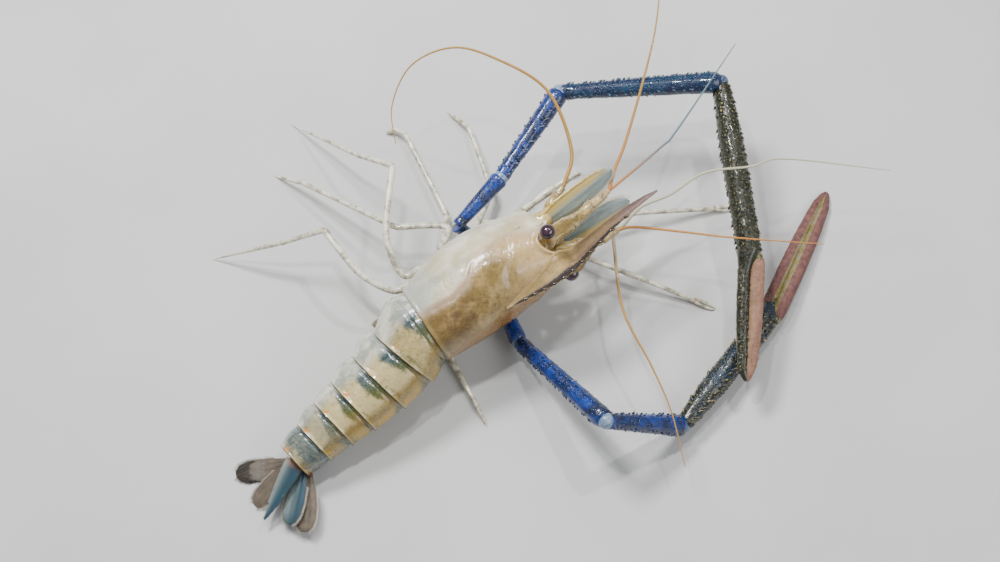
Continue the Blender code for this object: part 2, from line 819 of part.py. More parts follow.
# The other walking legs: root, side, how far straight out, then the spans above and below the
# knee.
LEGS = (
    (
        "leg_3_left", 27.0, 1, 4.0,
        ((13.0, 77, -7), (25.5, 178, -4)),
        ((60.6, 146, -18), (21.6, 152, -29)),
    ),
    (
        "leg_4_left", 15.0, 1, 4.0,
        ((9.9, -161, -15), (15.4, 121, 23), (13.9, 95, 12), (28.6, 85, 2)),
        ((23.8, 150, -25), (55.5, 140, -30)),
    ),
    (
        "leg_5_left", 6.0, 1, 3.5,
        ((9.2, -163, -7), (16.8, 156, 14), (18.3, 131, 6), (11.6, 125, -5)),
        ((24.7, -174, -26), (42.7, -180, -30)),
    ),
    (
        "leg_3_right", 27.0, -1, 4.0,
        ((51.3, 70, -6),),
        ((38.9, 108, -4), (17.1, 135, -19)),
    ),
    (
        "leg_4_right", 15.0, -1, 4.0,
        ((42.4, 84, -7),),
        ((51.5, 115, -3), (7.6, 143, -15), (6.0, -167, -35)),
    ),
    (
        "leg_5_right", 6.0, -1, 4.0,
        ((8.0, -60, -72), (29.0, -61, -8)),
        ((25.0, -62, -1), (10.9, -63, -10)),
    ),
)
LEG_ROOT_RADIUS = 2.1
LEG_KNEE_RADIUS = 1.7
LEG_TIP_RADIUS = 0.5


def make_legs(group):
    for name, along, side, spans in FIRST_LEGS:
        root, outward = leg_root(along, side)
        points = [root] + chain(root + outward * FIRST_LEG_STEP, spans)
        last = len(points) - 2
        radii = [
            FIRST_LEG_RADIUS + (PINCER_RADIUS - FIRST_LEG_RADIUS) * i / last
            for i in range(last + 1)
        ]
        palm, tip = points[-2], points[-1]
        spread = direction(spans[-1][1] + 90.0, 0.0) * PINCER_SPREAD
        points[-1] = tip + spread
        mesh = rod_mesh(name, points, radii + [LEG_TIP_RADIUS], 8)
        finger = [palm - spread * 0.3, palm.lerp(tip, 0.3) - spread * 0.9, tip - spread]
        mesh = fuse(mesh, [rod_mesh("finger", finger, [0.9, 0.75, LEG_TIP_RADIUS], 6)])
        set_on_floor(mesh)
        finish_object(name, mesh, "leg", group)
    for name, along, side, out, upper, lower in LEGS:
        root, outward = leg_root(along, side)
        above = chain(root + outward * out, upper)
        below = chain(above[-1], lower)
        knee = joint_plane(above[-2], above[-1], below[1])
        reach = (above[-1] - above[-2]).normalized() * (1.5 * LEG_KNEE_RADIUS)
        points = [root] + above[:-1] + [above[-1], above[-1] + reach]
        count = len(points)
        radii = [
            LEG_ROOT_RADIUS + (LEG_KNEE_RADIUS - LEG_ROOT_RADIUS) * min(1.0, i / (count - 2.0))
            for i in range(count)
        ]
        cuts = ((above[-1] - knee * (0.5 * GAP), knee),)
        rod(name + "_upper", points, radii, 8, "leg", group, cuts)
        reach = (below[1] - below[0]).normalized() * (1.5 * LEG_KNEE_RADIUS)
        points = [below[0] - reach] + below
        count = len(points)
        radii = [LEG_KNEE_RADIUS, LEG_KNEE_RADIUS]
        radii += [1.25] * (count - 3) + [LEG_TIP_RADIUS]
        cuts = ((below[0] + knee * (0.5 * GAP), -knee),)
        rod(name + "_lower", points, radii, 8, "leg", group, cuts)


# Long arms: side, spans of the short first pieces, then of merus, carpus, palm and finger.
ARMS = (
    (
        "left", 1, ((6.5, 152, 42), (31.4, 47, 12)),
        (53.2, 57, 4), (80.6, 5.4, -2.5), (91.8, -82, -9.7), (59.7, -94, -9.2),
    ),
    (
        "right", -1, ((9.5, -60, -75), (42.5, -66, -1.5)),
        (71.7, -51.7, 25.7), (48.9, 10.5, -37.4), (73.9, 51.6, -0.5), (77.0, 64.5, -5.1),
    ),
)
ARM_ROOT_RADIUS = 3.6
ELBOW_RADIUS = 4.1
MERUS_RADIUS = 4.8
CARPUS_RADIUS = 5.0
WRIST_RADIUS = 4.4
PALM_RADIUS = 6.1
PALM_SHAPE = (
    (0.0, WRIST_RADIUS),
    (0.07, 0.85 * PALM_RADIUS),
    (0.35, PALM_RADIUS),
    (0.8, PALM_RADIUS),
    (1.0, 0.93 * PALM_RADIUS),
)
FINGER_RADII = ((0.0, 3.0), (0.15, 3.0), (0.4, 2.7), (0.7, 2.2), (0.9, 1.5), (1.0, 0.7))


# Spines of the arms: rows round a segment, spacing along a row, clear ends and the three sizes
# they come in, as height and radius.
SPINE_ROWS = 6
SPINE_SPACING = 7.0
SPINE_MARGIN = 5.0
SPINE_SIZES = ((1.5, 0.6), (2.0, 0.75), (2.6, 0.9))


def arm_spines(start, end, widths, seed):
    """Spines in rows round a segment from start to end; widths hold share and radius."""
    draw = random.Random(seed)
    along = (end - start).normalized()
    length = (end - start).length
    aside = along.orthogonal().normalized()
    other = along.cross(aside)
    spines = []
    count = int((length - 2.0 * SPINE_MARGIN) / SPINE_SPACING)
    for row in range(SPINE_ROWS):
        for i in range(count):
            place = SPINE_MARGIN + SPINE_SPACING * (i + 0.5 * (row % 2) + draw.uniform(0.0, 0.35))
            radius = interpolate(widths, place / length)[0]
            turn = 2.0 * pi * (row + draw.uniform(-0.18, 0.18)) / SPINE_ROWS
            radial = aside * cos(turn) + other * sin(turn)
            height, width = draw.choice(SPINE_SIZES)
            foot = start + along * place + radial * (0.93 * radius)
            pointing = (radial * 0.86 + along * 0.5).normalized()
            spines.append((foot, pointing, height, width))
    return spine_mesh("arm_spines", spines)


def arm_segment(name, start, end, first_plane, last_plane, radii, finish, group):
    """One straight piece of an arm, mitred at both joints against its neighbours."""
    along = (end - start).normalized()
    length = (end - start).length
    reach = 1.6 * radii[0]
    places = (-reach, 0.0, 0.12 * length, 0.5 * length, 0.88 * length, length, length + reach)
    widths = (radii[0], radii[0], radii[1], radii[2], radii[3], radii[4], radii[4])
    points = [start + along * place for place in places]
    mesh = rod_mesh(name, points, widths, 10)
    trim(mesh, start + first_plane * (0.5 * GAP), -first_plane)
    trim(mesh, end - last_plane * (0.5 * GAP), last_plane)
    shape = ((0.0, radii[0]), (0.12, radii[1]), (0.5, radii[2]), (0.88, radii[3]), (1.0, radii[4]))
    mesh = fuse(mesh, [arm_spines(start, end, shape, name)])
    set_on_floor(mesh)
    finish_object(name, mesh, finish, group)


def claw_ring(centre, along, side, wide, deep):
    up = side.cross(along).normalized()
    ring = []
    for i in range(10):
        turn = 2.0 * pi * i / 10
        ring.append(centre + side * (cos(turn) * wide) + up * (sin(turn) * deep))
    return ring


def make_claw(name, wrist, wrist_plane, palm, finger, side_turn, group):
    along = direction(palm[1], palm[2])
    hinge = wrist + along * palm[0]
    side = direction(palm[1] + side_turn, 0.0)
    rings = []
    for place, radius in (
        (-7.5, WRIST_RADIUS),
        (0.0, WRIST_RADIUS),
        (6.0, 0.85 * PALM_RADIUS),
        (0.35 * palm[0], PALM_RADIUS),
        (0.8 * palm[0], PALM_RADIUS),
        (palm[0] - GAP, 0.93 * PALM_RADIUS),
    ):
        rings.append(claw_ring(wrist + along * place, along, side, radius, radius))
    pointing = direction(finger[1], finger[2])
    for share, radius in FINGER_RADII:
        facing = along if share == 0.0 else pointing
        centre = hinge + pointing * (share * finger[0]) - side * (radius + 0.5 * GAP + 0.05)
        rings.append(claw_ring(centre, facing, side, radius, radius))
    mesh = loft_mesh("claw_%s_palm" % name, rings)
    trim(mesh, wrist + wrist_plane * (0.5 * GAP), -wrist_plane)
    mesh = fuse(mesh, [arm_spines(wrist, hinge, PALM_SHAPE, name)])
    set_on_floor(mesh)
    finish_object("claw_%s_palm" % name, mesh, "claw", group)
    rings = []
    for share, radius in FINGER_RADII:
        place = share * finger[0] if share else -3.0
        centre = hinge + pointing * place + side * (radius + 0.5 * GAP + 0.05)
        rings.append(claw_ring(centre, pointing, side, radius, radius))
    mesh = loft_mesh("claw_%s_finger" % name, rings)
    trim(mesh, hinge + along * GAP, -along)
    set_on_floor(mesh)
    finish_object("claw_%s_finger" % name, mesh, "felt", group)


def make_arms(group):
    for name, side, first, merus, carpus, palm, finger in ARMS:
        root, outward = leg_root(41.0, side)
        start = chain(root + outward * 3.0, first)
        shoulder = start[-1]
        elbow = shoulder + direction(merus[1], merus[2]) * merus[0]
        wrist = elbow + direction(carpus[1], carpus[2]) * carpus[0]
        hinge = wrist + direction(palm[1], palm[2]) * palm[0]
        shoulder_plane = joint_plane(start[-2], shoulder, elbow)
        elbow_plane = joint_plane(shoulder, elbow, wrist)
        wrist_plane = joint_plane(elbow, wrist, hinge)
        reach = (shoulder - start[-2]).normalized() * 6.0
        points = [root] + start + [shoulder + reach]
        radii = [ARM_ROOT_RADIUS] * (len(points) - 2) + [ELBOW_RADIUS, ELBOW_RADIUS]
        cuts = ((shoulder - shoulder_plane * (0.5 * GAP), shoulder_plane),)
        rod("arm_%s_ischium" % name, points, radii, 10, "arm", group, cuts)
        arm_segment(
            "arm_%s_merus" % name, shoulder, elbow, shoulder_plane, elbow_plane,
            (ELBOW_RADIUS, MERUS_RADIUS, MERUS_RADIUS, MERUS_RADIUS, ELBOW_RADIUS), "arm", group,
        )
        arm_segment(
            "arm_%s_carpus" % name, elbow, wrist, elbow_plane, wrist_plane,
            (ELBOW_RADIUS, CARPUS_RADIUS, CARPUS_RADIUS, 1.08 * CARPUS_RADIUS, WRIST_RADIUS),
            "arm", group,
        )
        make_claw(name, wrist, wrist_plane, palm, finger, 90.0 * side, group)


# Swimmeret: share of its length, share of its half width and thickness.
PLEOPOD_SPANS = (
    (0.0, 0.45, 1.0),
    (0.2, 0.8, 0.9),
    (0.55, 1.0, 0.8),
    (0.85, 0.7, 0.7),
    (1.0, 0.3, 0.6),
)


def make_pleopods(frames, group):
    for index in range(5):
        centre, forward, back, left, size = ring_frame(frames, index, 0.35)
        top, bottom, half_width = size
        lobe = 1.0 + ABDOMEN_RINGS[index][7]
        length = 0.86 * ABDOMEN_RINGS[index][0]
        along = (-forward * 0.96 - back * 0.28).normalized()
        for side, word in ((1, "left"), (-1, "right")):
            root = centre - back * (BELLY_HOLLOW * bottom * lobe + 1.6)
            root += left * (side * 0.31 * half_width)
            spans = [
                (place * length, wide * 0.18 * half_width, thick)
                for place, wide, thick in PLEOPOD_SPANS
            ]
            blade("pleopod_%d_%s" % (index + 1, word), root, along, left, spans, "leg", group)


def stand_at_origin(group):
    """Move every mesh so that the origin is under the middle of the whole prawn's box."""
    corners = [vertex.co for made in group.objects for vertex in made.data.vertices]
    low = [min(corner[i] for corner in corners) for i in range(3)]
    high = [max(corner[i] for corner in corners) for i in range(3)]
    shift = Vector((-0.5 * (low[0] + high[0]), -0.5 * (low[1] + high[1]), -low[2]))
    for made in group.objects:
        made.data.transform(Matrix.Translation(shift))


def build():
    clear_scene()
    group = new_collection("giant_river_prawn")
    make_carapace(group)
    frames = make_abdomen(group)
    make_tail(frames, group)
    make_pleopods(frames, group)
    make_sternum(group)
    make_rostrum(group)
    make_eyes(group)
    make_scales(group)
    make_feelers(group)
    make_maxillipeds(group)
    make_legs(group)
    make_arms(group)
    stand_at_origin(group)


build()
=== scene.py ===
"""Looks for a life-size giant river prawn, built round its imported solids.

Sizes are in millimetres until a mesh is laid. Every piece's place is in its mesh.
"""

import random
from math import cos, pi, radians, sin

import bpy
import numpy as np
from bpy.props import FloatProperty, FloatVectorProperty, IntProperty, PointerProperty
from bpy.types import Operator, Panel, PropertyGroup
from mathutils import Matrix, Vector, noise


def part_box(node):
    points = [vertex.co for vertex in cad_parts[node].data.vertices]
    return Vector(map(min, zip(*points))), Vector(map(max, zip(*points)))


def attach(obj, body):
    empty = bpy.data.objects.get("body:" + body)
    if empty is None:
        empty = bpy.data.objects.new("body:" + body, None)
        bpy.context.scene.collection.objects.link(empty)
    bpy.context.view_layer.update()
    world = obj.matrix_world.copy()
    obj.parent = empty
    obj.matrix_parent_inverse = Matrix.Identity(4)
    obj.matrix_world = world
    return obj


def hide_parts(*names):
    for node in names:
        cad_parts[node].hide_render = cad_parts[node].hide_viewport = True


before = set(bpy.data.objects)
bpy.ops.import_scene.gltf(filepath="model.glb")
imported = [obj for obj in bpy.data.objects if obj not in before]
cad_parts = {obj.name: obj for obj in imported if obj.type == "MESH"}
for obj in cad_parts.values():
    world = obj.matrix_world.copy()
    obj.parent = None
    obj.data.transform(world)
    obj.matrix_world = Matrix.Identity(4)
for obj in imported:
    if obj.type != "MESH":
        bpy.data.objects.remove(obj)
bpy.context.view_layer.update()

bl_info = {
    "name": "Giant river prawn",
    "version": (1, 0, 0),
    "blender": (4, 5, 0),
    "location": "3D View > Sidebar > Prawn",
    "description": "Builds a still, life-size giant river prawn round its packed solids",
    "category": "Object",
}

MM = 0.001
BODY = "root"

# ---------------------------------------------------------------- body frame

BODY_START = Vector((-35.9, -34.4, 29.5))
BODY_HEADING = 32.5
BODY_PITCH = 10.5
BODY_ROLL = 26.0
CARAPACE_LENGTH = 73.0
SHELL_OPEN_ANGLE = 134.0
BELLY_HOLLOW = 0.56
GAP = 0.3

# Distance from the rear edge, back height, belly depth and half width of the carapace.
CARAPACE_SECTIONS = (
    (0.0, 20.5, 20.0, 19.0),
    (5.0, 21.5, 22.5, 20.4),
    (15.0, 21.6, 26.5, 22.0),
    (28.0, 21.2, 29.8, 23.0),
    (40.0, 20.6, 30.3, 23.0),
    (50.0, 20.2, 28.0, 21.5),
    (60.0, 19.8, 25.0, 19.2),
    (68.0, 19.2, 22.0, 17.0),
    (73.0, 18.2, 19.5, 15.4),
)
# How far the front edge stands forward, by angle from the back.
FRONT_EDGE = (
    (0.0, 1.5),
    (22.0, 0.0),
    (36.0, -4.6),
    (48.0, -6.6),
    (60.0, -6.4),
    (70.0, -2.6),
    (76.0, 1.2),
    (80.0, 3.2),
    (92.0, -0.6),
    (134.0, -3.0),
)
# Each abdominal ring, from the front: length, heading and drop of its middle line as it runs
# back, then roll, back height, belly depth and half width at its rear, and its lobe's depth.
ABDOMEN_RINGS = (
    (17.2, -129.0, -20.0, 29.0, 19.4, 17.6, 17.0, 0.14),
    (17.0, -134.0, -15.0, 33.0, 18.4, 17.0, 15.8, 0.30),
    (16.8, -137.0, -11.0, 38.0, 16.6, 15.6, 14.0, 0.26),
    (12.6, -138.0, -9.0, 43.0, 14.2, 13.6, 12.3, 0.22),
    (12.6, -136.0, -8.0, 48.0, 12.2, 11.6, 10.6, 0.26),
    (14.0, -138.0, -9.0, 56.0, 9.0, 8.6, 8.2, 0.04),
)
ABDOMEN_FRONT = (19.6, 18.4, 18.0)
STERNUM_SIZES = ((2.0, 0.62), (12.0, 0.84), (28.0, 1.0), (44.0, 1.0), (56.0, 0.82), (64.0, 0.6))
STERNUM_EDGE_DEPTH = 4.5
STERNUM_DEPTH = 10.0
STERNUM_HALF = 9.5
STERNUM_FOOT_HALF = 4.5
FACE = CARAPACE_LENGTH - 5.0 + GAP


def direction(heading, elevation):
    """Unit vector for a heading round +Z from +X and an elevation above the floor."""
    turn = radians(heading)
    rise = radians(elevation)
    return Vector((cos(turn) * cos(rise), sin(turn) * cos(rise), sin(rise)))


def body_axes(heading, pitch, roll):
    """Forward, back and left directions of a body rolled on to its right side."""
    forward = direction(heading, pitch)
    aside = direction(heading - 90.0, 0.0)
    up = aside.cross(forward)
    back = aside * cos(radians(roll)) + up * sin(radians(roll))
    return forward, back, back.cross(forward)


FORWARD, BACK, LEFT = body_axes(BODY_HEADING, BODY_PITCH, BODY_ROLL)


def body_point(along, high, left):
    """Point of the carapace's frame: forward of its rear edge, toward the back, to the left."""
    return BODY_START + FORWARD * along + BACK * high + LEFT * left


def row_at(table, place):
    """Row of a table of sizes at a place, straight between the rows on either side."""
    keys = [row[0] for row in table]
    return [np.interp(place, keys, [row[i] for row in table]) for i in range(1, len(table[0]))]


def sternum_ring(along):
    """Six corners of the breast plate's section at a place along the carapace."""
    size = row_at(STERNUM_SIZES, along)[0]
    top = -BELLY_HOLLOW * row_at(CARAPACE_SECTIONS, along)[1] - GAP
    corners = (
        (top, 0.8 * STERNUM_HALF),
        (top - STERNUM_EDGE_DEPTH * size, STERNUM_HALF),
        (top - STERNUM_DEPTH * size, STERNUM_FOOT_HALF),
        (top - STERNUM_DEPTH * size, -STERNUM_FOOT_HALF),
        (top - STERNUM_EDGE_DEPTH * size, -STERNUM_HALF),
        (top, -0.8 * STERNUM_HALF),
    )
    return [body_point(along, high, left * size) for high, left in corners]


def leg_root(along, side):
    """Middle of the breast plate's sloping side where a leg starts, and its outward direction."""
    edge, foot = (1, 2) if side > 0 else (4, 3)
    ahead, behind = sternum_ring(along + 1.0), sternum_ring(along - 1.0)
    middle = (ahead[edge] + ahead[foot] + behind[edge] + behind[foot]) * 0.25
    run = ahead[edge] + ahead[foot] - behind[edge] - behind[foot]
    slope = sternum_ring(along)[edge] - sternum_ring(along)[foot]
    outward = slope.cross(run).normalized()
    if outward.dot(LEFT) * side < 0.0:
        outward = -outward
    return middle + outward * GAP, outward


def frame_shift():
    """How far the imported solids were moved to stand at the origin, from the breast plate's box."""
    corners = [corner for along, size in STERNUM_SIZES for corner in sternum_ring(along)]
    low = Vector([min(corner[i] for corner in corners) for i in range(3)])
    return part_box("sternum")[0] / MM - low


SHIFT = frame_shift()


def chain(start, spans):
    """Points of a limb from its root: each span is a length, a heading and an elevation."""
    points = [Vector(start)]
    for length, heading, elevation in spans:
        points.append(points[-1] + direction(heading, elevation) * length)
    return points


def abdomen_frames():
    """For each joint of the abdomen: centre, forward, back, left and its section's sizes."""
    frames = [(BODY_START - FORWARD * (0.5 * GAP), FORWARD, BACK, LEFT, ABDOMEN_FRONT)]
    centre = BODY_START
    for ring, following in zip(ABDOMEN_RINGS, ABDOMEN_RINGS[1:] + ABDOMEN_RINGS[-1:]):
        length, heading, drop, roll = ring[:4]
        centre = centre + direction(heading, drop) * length
        heading = 0.5 * (heading + following[1])
        drop = 0.5 * (drop + following[2])
        frames.append((centre, *body_axes(heading - 180.0, -drop, roll), ring[4:7]))
    return frames


ABDOMEN_FRAMES = abdomen_frames()


def ring_frame(index, share):
    """Frame and section sizes a share of the way back along one ring of the abdomen."""
    front, rear = ABDOMEN_FRAMES[index], ABDOMEN_FRAMES[index + 1]
    span = (front[0] - rear[0]).length
    before = front[0] - front[1] * span * 0.33
    after = rear[0] + rear[1] * span * 0.33
    t = share
    centre = (
        front[0] * (1 - t) ** 3
        + before * 3 * t * (1 - t) ** 2
        + after * 3 * t * t * (1 - t)
        + rear[0] * t ** 3
    )
    forward = (front[1] * (1 - t) + rear[1] * t).normalized()
    back = front[2] * (1 - t) + rear[2] * t
    back = (back - forward * back.dot(forward)).normalized()
    size = [a * (1 - t) + b * t for a, b in zip(front[4], rear[4])]
    return centre, forward, back, back.cross(forward), size


def smooth(value, low, high):
    """Eased step from 0 at low to 1 at high."""
    share = np.clip((value - low) / (high - low), 0.0, 1.0)
    return share * share * (3.0 - 2.0 * share)


def ridge(value, middle, width):
    """Bell of height 1 round a middle."""
    return np.exp(-(((value - middle) / width) ** 2))


# ---------------------------------------------------------------- modelling helpers

# Points nearer than this, in metres, are one point.
WELD = 2e-6
# Height in millimetres over which points near the floor are eased up.
FLOOR_EASE = 0.3
FLOOR_CLEARANCE = 0.02
# Share along a thorn where it is cut and swollen, and by how much.
THORN_WAIST = 0.45
THORN_SWELL = 0.25


def deselect():
    if bpy.context.object and bpy.context.object.mode != "OBJECT":
        bpy.ops.object.mode_set(mode="OBJECT")
    bpy.ops.object.select_all(action="DESELECT")


def pick(*pieces):
    deselect()
    for piece in pieces:
        piece.select_set(True)
    bpy.context.view_layer.objects.active = pieces[0]


def weld(piece, closed=True):
    """Merge a laid grid's seam and poles and turn its faces outward."""
    pick(piece)
    bpy.ops.object.mode_set(mode="EDIT")
    bpy.ops.mesh.select_all(action="SELECT")
    bpy.ops.mesh.remove_doubles(threshold=WELD)
    if closed:
        bpy.ops.mesh.normals_make_consistent(inside=False)
    bpy.ops.object.mode_set(mode="OBJECT")


def above_floor(places):
    """Ease heights in metres so that nothing dips under the floor."""
    soft = FLOOR_EASE * MM
    places[:, 2] = soft * np.logaddexp(0.0, places[:, 2] / soft)
    return places


def plain(vectors):
    """Array of vectors."""
    return np.array([tuple(vector) for vector in vectors])


def unit(vectors):
    """Array of vectors, each brought to length 1."""
    return vectors / np.linalg.norm(vectors, axis=1)[:, None]


def lay(name, rings, finish, closed=True, zones=None):
    """Grid primitive shaped to rings of points: an array of rows, columns and 3, in millimetres.

    Each array of zones holds three shares for each point, kept for the piece's finish.
    """
    rows, columns = rings.shape[0] - 1, rings.shape[1] - 1
    deselect()
    bpy.ops.mesh.primitive_grid_add(x_subdivisions=columns, y_subdivisions=rows, size=1.0)
    piece = bpy.context.object
    piece.name = piece.data.name = name
    flat = np.empty(3 * len(piece.data.vertices))
    piece.data.vertices.foreach_get("co", flat)
    flat = flat.reshape(-1, 3)
    column = np.rint((flat[:, 0] + 0.5) * columns).astype(int)
    row = np.rint((flat[:, 1] + 0.5) * rows).astype(int)
    places = above_floor((rings[row, column] + np.array(SHIFT)) * MM)
    piece.data.vertices.foreach_set("co", places.ravel())
    for key, shares in (zones or {}).items():
        layer = piece.data.color_attributes.new(key, "FLOAT_COLOR", "POINT")
        values = np.ones((len(row), 4))
        values[:, :3] = shares[row, column]
        layer.data.foreach_set("color", values.ravel())
    piece.data.update()
    weld(piece, closed)
    bpy.ops.object.shade_smooth()
    return dress(piece, finish)


def knob(place, radius, finish):
    """Ball of joint skin."""
    deselect()
    bpy.ops.mesh.primitive_ico_sphere_add(subdivisions=3, radius=radius * MM)
    ball = bpy.context.object
    ball.data.transform(Matrix.Translation((place + SHIFT) * MM))
    bpy.ops.object.shade_smooth()
    return dress(ball, finish)


def apply_modifier(piece, kind, **values):
    """Add a modifier with these values to a piece and apply it."""
    pick(piece)
    modifier = piece.modifiers.new(kind.lower(), kind)
    for key, value in values.items():
        setattr(modifier, key, value)
    bpy.ops.object.modifier_apply(modifier=modifier.name)
    for vertex in piece.data.vertices:
        vertex.co.z = max(vertex.co.z, FLOOR_CLEARANCE * MM)


def dress(piece, finish):
    """Give a piece one finish."""
    piece.data.materials.clear()
    piece.data.materials.append(finish)
    return piece


def settle(name, parts, slot, *nodes):
    """Join parts into one piece that rides on the body and stands for its solids."""
    pick(*parts)
    if len(parts) > 1:
        bpy.ops.object.join()
    piece = bpy.context.object
    piece.name = piece.data.name = name
    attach(piece, BODY)
    if nodes:
        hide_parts(*nodes)


def transport(points):
    """Side directions carried along a path of points without twist."""
    tangents = unit(np.gradient(points, axis=0))
    start = np.cross(tangents[0], (0.0, 0.0, 1.0))
    if np.linalg.norm(start) < 0.05:
        start = np.cross(tangents[0], (1.0, 0.0, 0.0))
    sides = [start / np.linalg.norm(start)]
    for tangent in tangents[1:]:
        side = sides[-1] - tangent * np.dot(sides[-1], tangent)
        sides.append(side / np.linalg.norm(side))
    return np.array(sides), np.cross(tangents, sides)


def tube_rings(points, radii, columns, deep=1.0):
    """Rings of a tube along points; deep flattens it."""
    points = plain(points)
    sides, ups = transport(points)
    turn = np.linspace(0.0, 2.0 * pi, columns + 1)
    size = np.array(radii, float)[:, None] * np.ones_like(turn)[None, :]
    across = (size * np.cos(turn))[..., None]
    high = (size * np.sin(turn) * deep)[..., None]
    return points[:, None] + sides[:, None] * across + ups[:, None] * high


def capped(rings):
    """Rings closed at both ends by one drawn together to its middle."""
    ends = [np.repeat(rings[i].mean(axis=0)[None], rings.shape[1], axis=0)[None] for i in (0, -1)]
    return np.concatenate([ends[0], rings, ends[1]])


# Shape of one article of a limb: share of its length and of its radius.
ARTICLE = (
    (-0.012, 0.0), (-0.010, 0.45), (0.0, 0.74), (0.03, 0.9), (0.09, 0.93), (0.2, 0.86), (0.4, 0.86),
    (0.6, 0.9), (0.8, 0.97), (0.92, 1.06), (0.975, 1.05), (1.0, 0.86), (1.015, 0.5), (1.02, 0.0),
)


def girth(shape, place):
    """Share of the radius at a place along a shape like the one above."""
    return np.interp(place, *zip(*shape))


def article_rings(start, end, first, last, columns=16, shape=ARTICLE, deep=1.0, steps=3):
    """Rings of one limb article, waisted in the middle and swollen at its far joint."""
    keys = [key for key, size in shape]
    places = []
    for low, high in zip(keys, keys[1:]):
        places += [low + (high - low) * step / steps for step in range(steps)]
    places.append(keys[-1])
    start, end = Vector(start), Vector(end)
    points = [start.lerp(end, place) for place in places]
    radii = [
        girth(shape, place) * (first + (last - first) * min(max(place, 0.0), 1.0))
        for place in places
    ]
    return tube_rings(points, radii, columns, deep)


def eased(points, steps):
    """Points of a smooth curve through the given points, with steps in each span."""
    ends = [points[0] * 2 - points[1], *points, points[-1] * 2 - points[-2]]
    out = []
    for before, start, end, after in zip(ends, ends[1:], ends[2:], ends[3:]):
        for step in range(steps):
            t = step / steps
            cubic = (
                start * 2
                + (end - before) * t
                + (before * 2 - start * 5 + end * 4 - after) * t * t
                + (start * 3 - before - end * 3 + after) * t * t * t
            )
            out.append(cubic * 0.5)
    return [*out, points[-1]]


def thorn_shape(sides, bend):
    """A cone primitive curved forward: its points, faces and heights, 1 tall and 1 in radius."""
    deselect()
    bpy.ops.mesh.primitive_cone_add(vertices=sides, radius1=1.0, radius2=0.0, depth=1.0,
                                    location=(0.0, 0.0, 0.5), end_fill_type="NOTHING")
    cone = bpy.context.object
    bpy.ops.object.transform_apply(location=True)
    bpy.ops.object.mode_set(mode="EDIT")
    bpy.ops.mesh.select_all(action="SELECT")
    bpy.ops.mesh.bisect(plane_co=(0.0, 0.0, THORN_WAIST), plane_no=(0.0, 0.0, 1.0))
    bpy.ops.object.mode_set(mode="OBJECT")
    points = np.array([tuple(vertex.co) for vertex in cone.data.vertices])
    faces = [tuple(face.vertices) for face in cone.data.polygons]
    bpy.data.objects.remove(cone, do_unlink=True)
    swell = 1.0 + THORN_SWELL * (np.abs(points[:, 2] - THORN_WAIST) < 0.05)
    points[:, :2] *= swell[:, None]
    heights = points[:, 2].copy()
    points[:, 0] += bend * heights ** 2
    return points, faces, heights


def sprout(name, shape, finish, stems, leaning):
    """Copies of a thorn in one mesh: each stem is a foot, a way, a height and a radius."""
    points, faces, rises = shape
    count = len(points)
    feet = plain(stem[0] for stem in stems) + np.array(SHIFT)
    pointing = unit(plain(stem[1] for stem in stems))
    heights, radii = (np.array([stem[i] for stem in stems])[:, None, None] for i in (2, 3))
    leaning = np.array(tuple(leaning)) * np.ones((len(stems), 1))
    leaning = leaning - pointing * np.sum(leaning * pointing, axis=1)[:, None]
    length = np.linalg.norm(leaning, axis=1)[:, None]
    fallback = np.cross(pointing, np.array([0.31, 0.52, 0.79]))
    leaning = unit(np.where(length > 1e-6, leaning / np.maximum(length, 1e-6), fallback))
    aside = np.cross(pointing, leaning)
    tips = np.where(rises > 0.9, 1.0, 0.0)[None, :, None]
    bent = points[None, :, 0, None] * tips * heights
    wide = points[None, :, 0, None] * (1.0 - tips) * radii
    places = (
        feet[:, None]
        + leaning[:, None] * (bent + wide)
        + aside[:, None] * points[None, :, 1, None] * radii
        + pointing[:, None] * points[None, :, 2, None] * heights
    ) * MM
    places = above_floor(places.reshape(-1, 3))
    all_faces = [tuple(i + k * count for i in face) for k in range(len(feet)) for face in faces]
    mesh = bpy.data.meshes.new(name)
    mesh.from_pydata(places.tolist(), [], all_faces)
    layer = mesh.uv_layers.new(name="UVMap")
    index = np.empty(len(mesh.loops), int)
    mesh.loops.foreach_get("vertex_index", index)
    draw = random.Random(len(feet))
    luck = np.array([draw.random() for foot in feet])
    shares = np.stack([luck[index // count], rises[index % count]], axis=1)
    layer.data.foreach_set("uv", shares.ravel())
    piece = bpy.data.objects.new(name, mesh)
    bpy.context.scene.collection.objects.link(piece)
    pick(piece)
    bpy.ops.object.shade_smooth()
    return dress(piece, finish)


def hairs_round(draw, count, start, end, radius, places, lean, heights, width):
    """Stems of hairs drawn at random round a limb; radius is its size at a place."""
    along = (end - start).normalized()
    aside = along.orthogonal().normalized()
    stems = []
    for _ in range(count):
        turn = draw.uniform(0.0, 2.0 * pi)
        place = draw.uniform(*places)
        out = aside * cos(turn) + along.cross(aside) * sin(turn)
        foot = start.lerp(end, place) + out * radius(place)
        stems.append((foot, out * lean + along, draw.uniform(*heights), width))
    return stems


# ---------------------------------------------------------------- finishes


# How much the screen colours are deepened, and how much stronger they are made.
DEPTH = 0.86
SATURATION = 1.14


def tint(red, green, blue):
    """Linear colour, a little deepened, from screen values between 0 and 255."""
    out = []
    for value in (red, green, blue):
        share = value / 255.0
        out.append(share / 12.92 if share <= 0.04045 else ((share + 0.055) / 1.055) ** 2.4)
    grey = 0.3 * out[0] + 0.6 * out[1] + 0.1 * out[2]
    return tuple(max(0.0, DEPTH * (grey + SATURATION * (value - grey))) for value in out)


class Looks:
    """The prawn's colours as its settings hold them."""

    def __getattr__(self, name):
        return tuple(getattr(bpy.context.scene.prawn_colours, name))


LOOK = Looks()


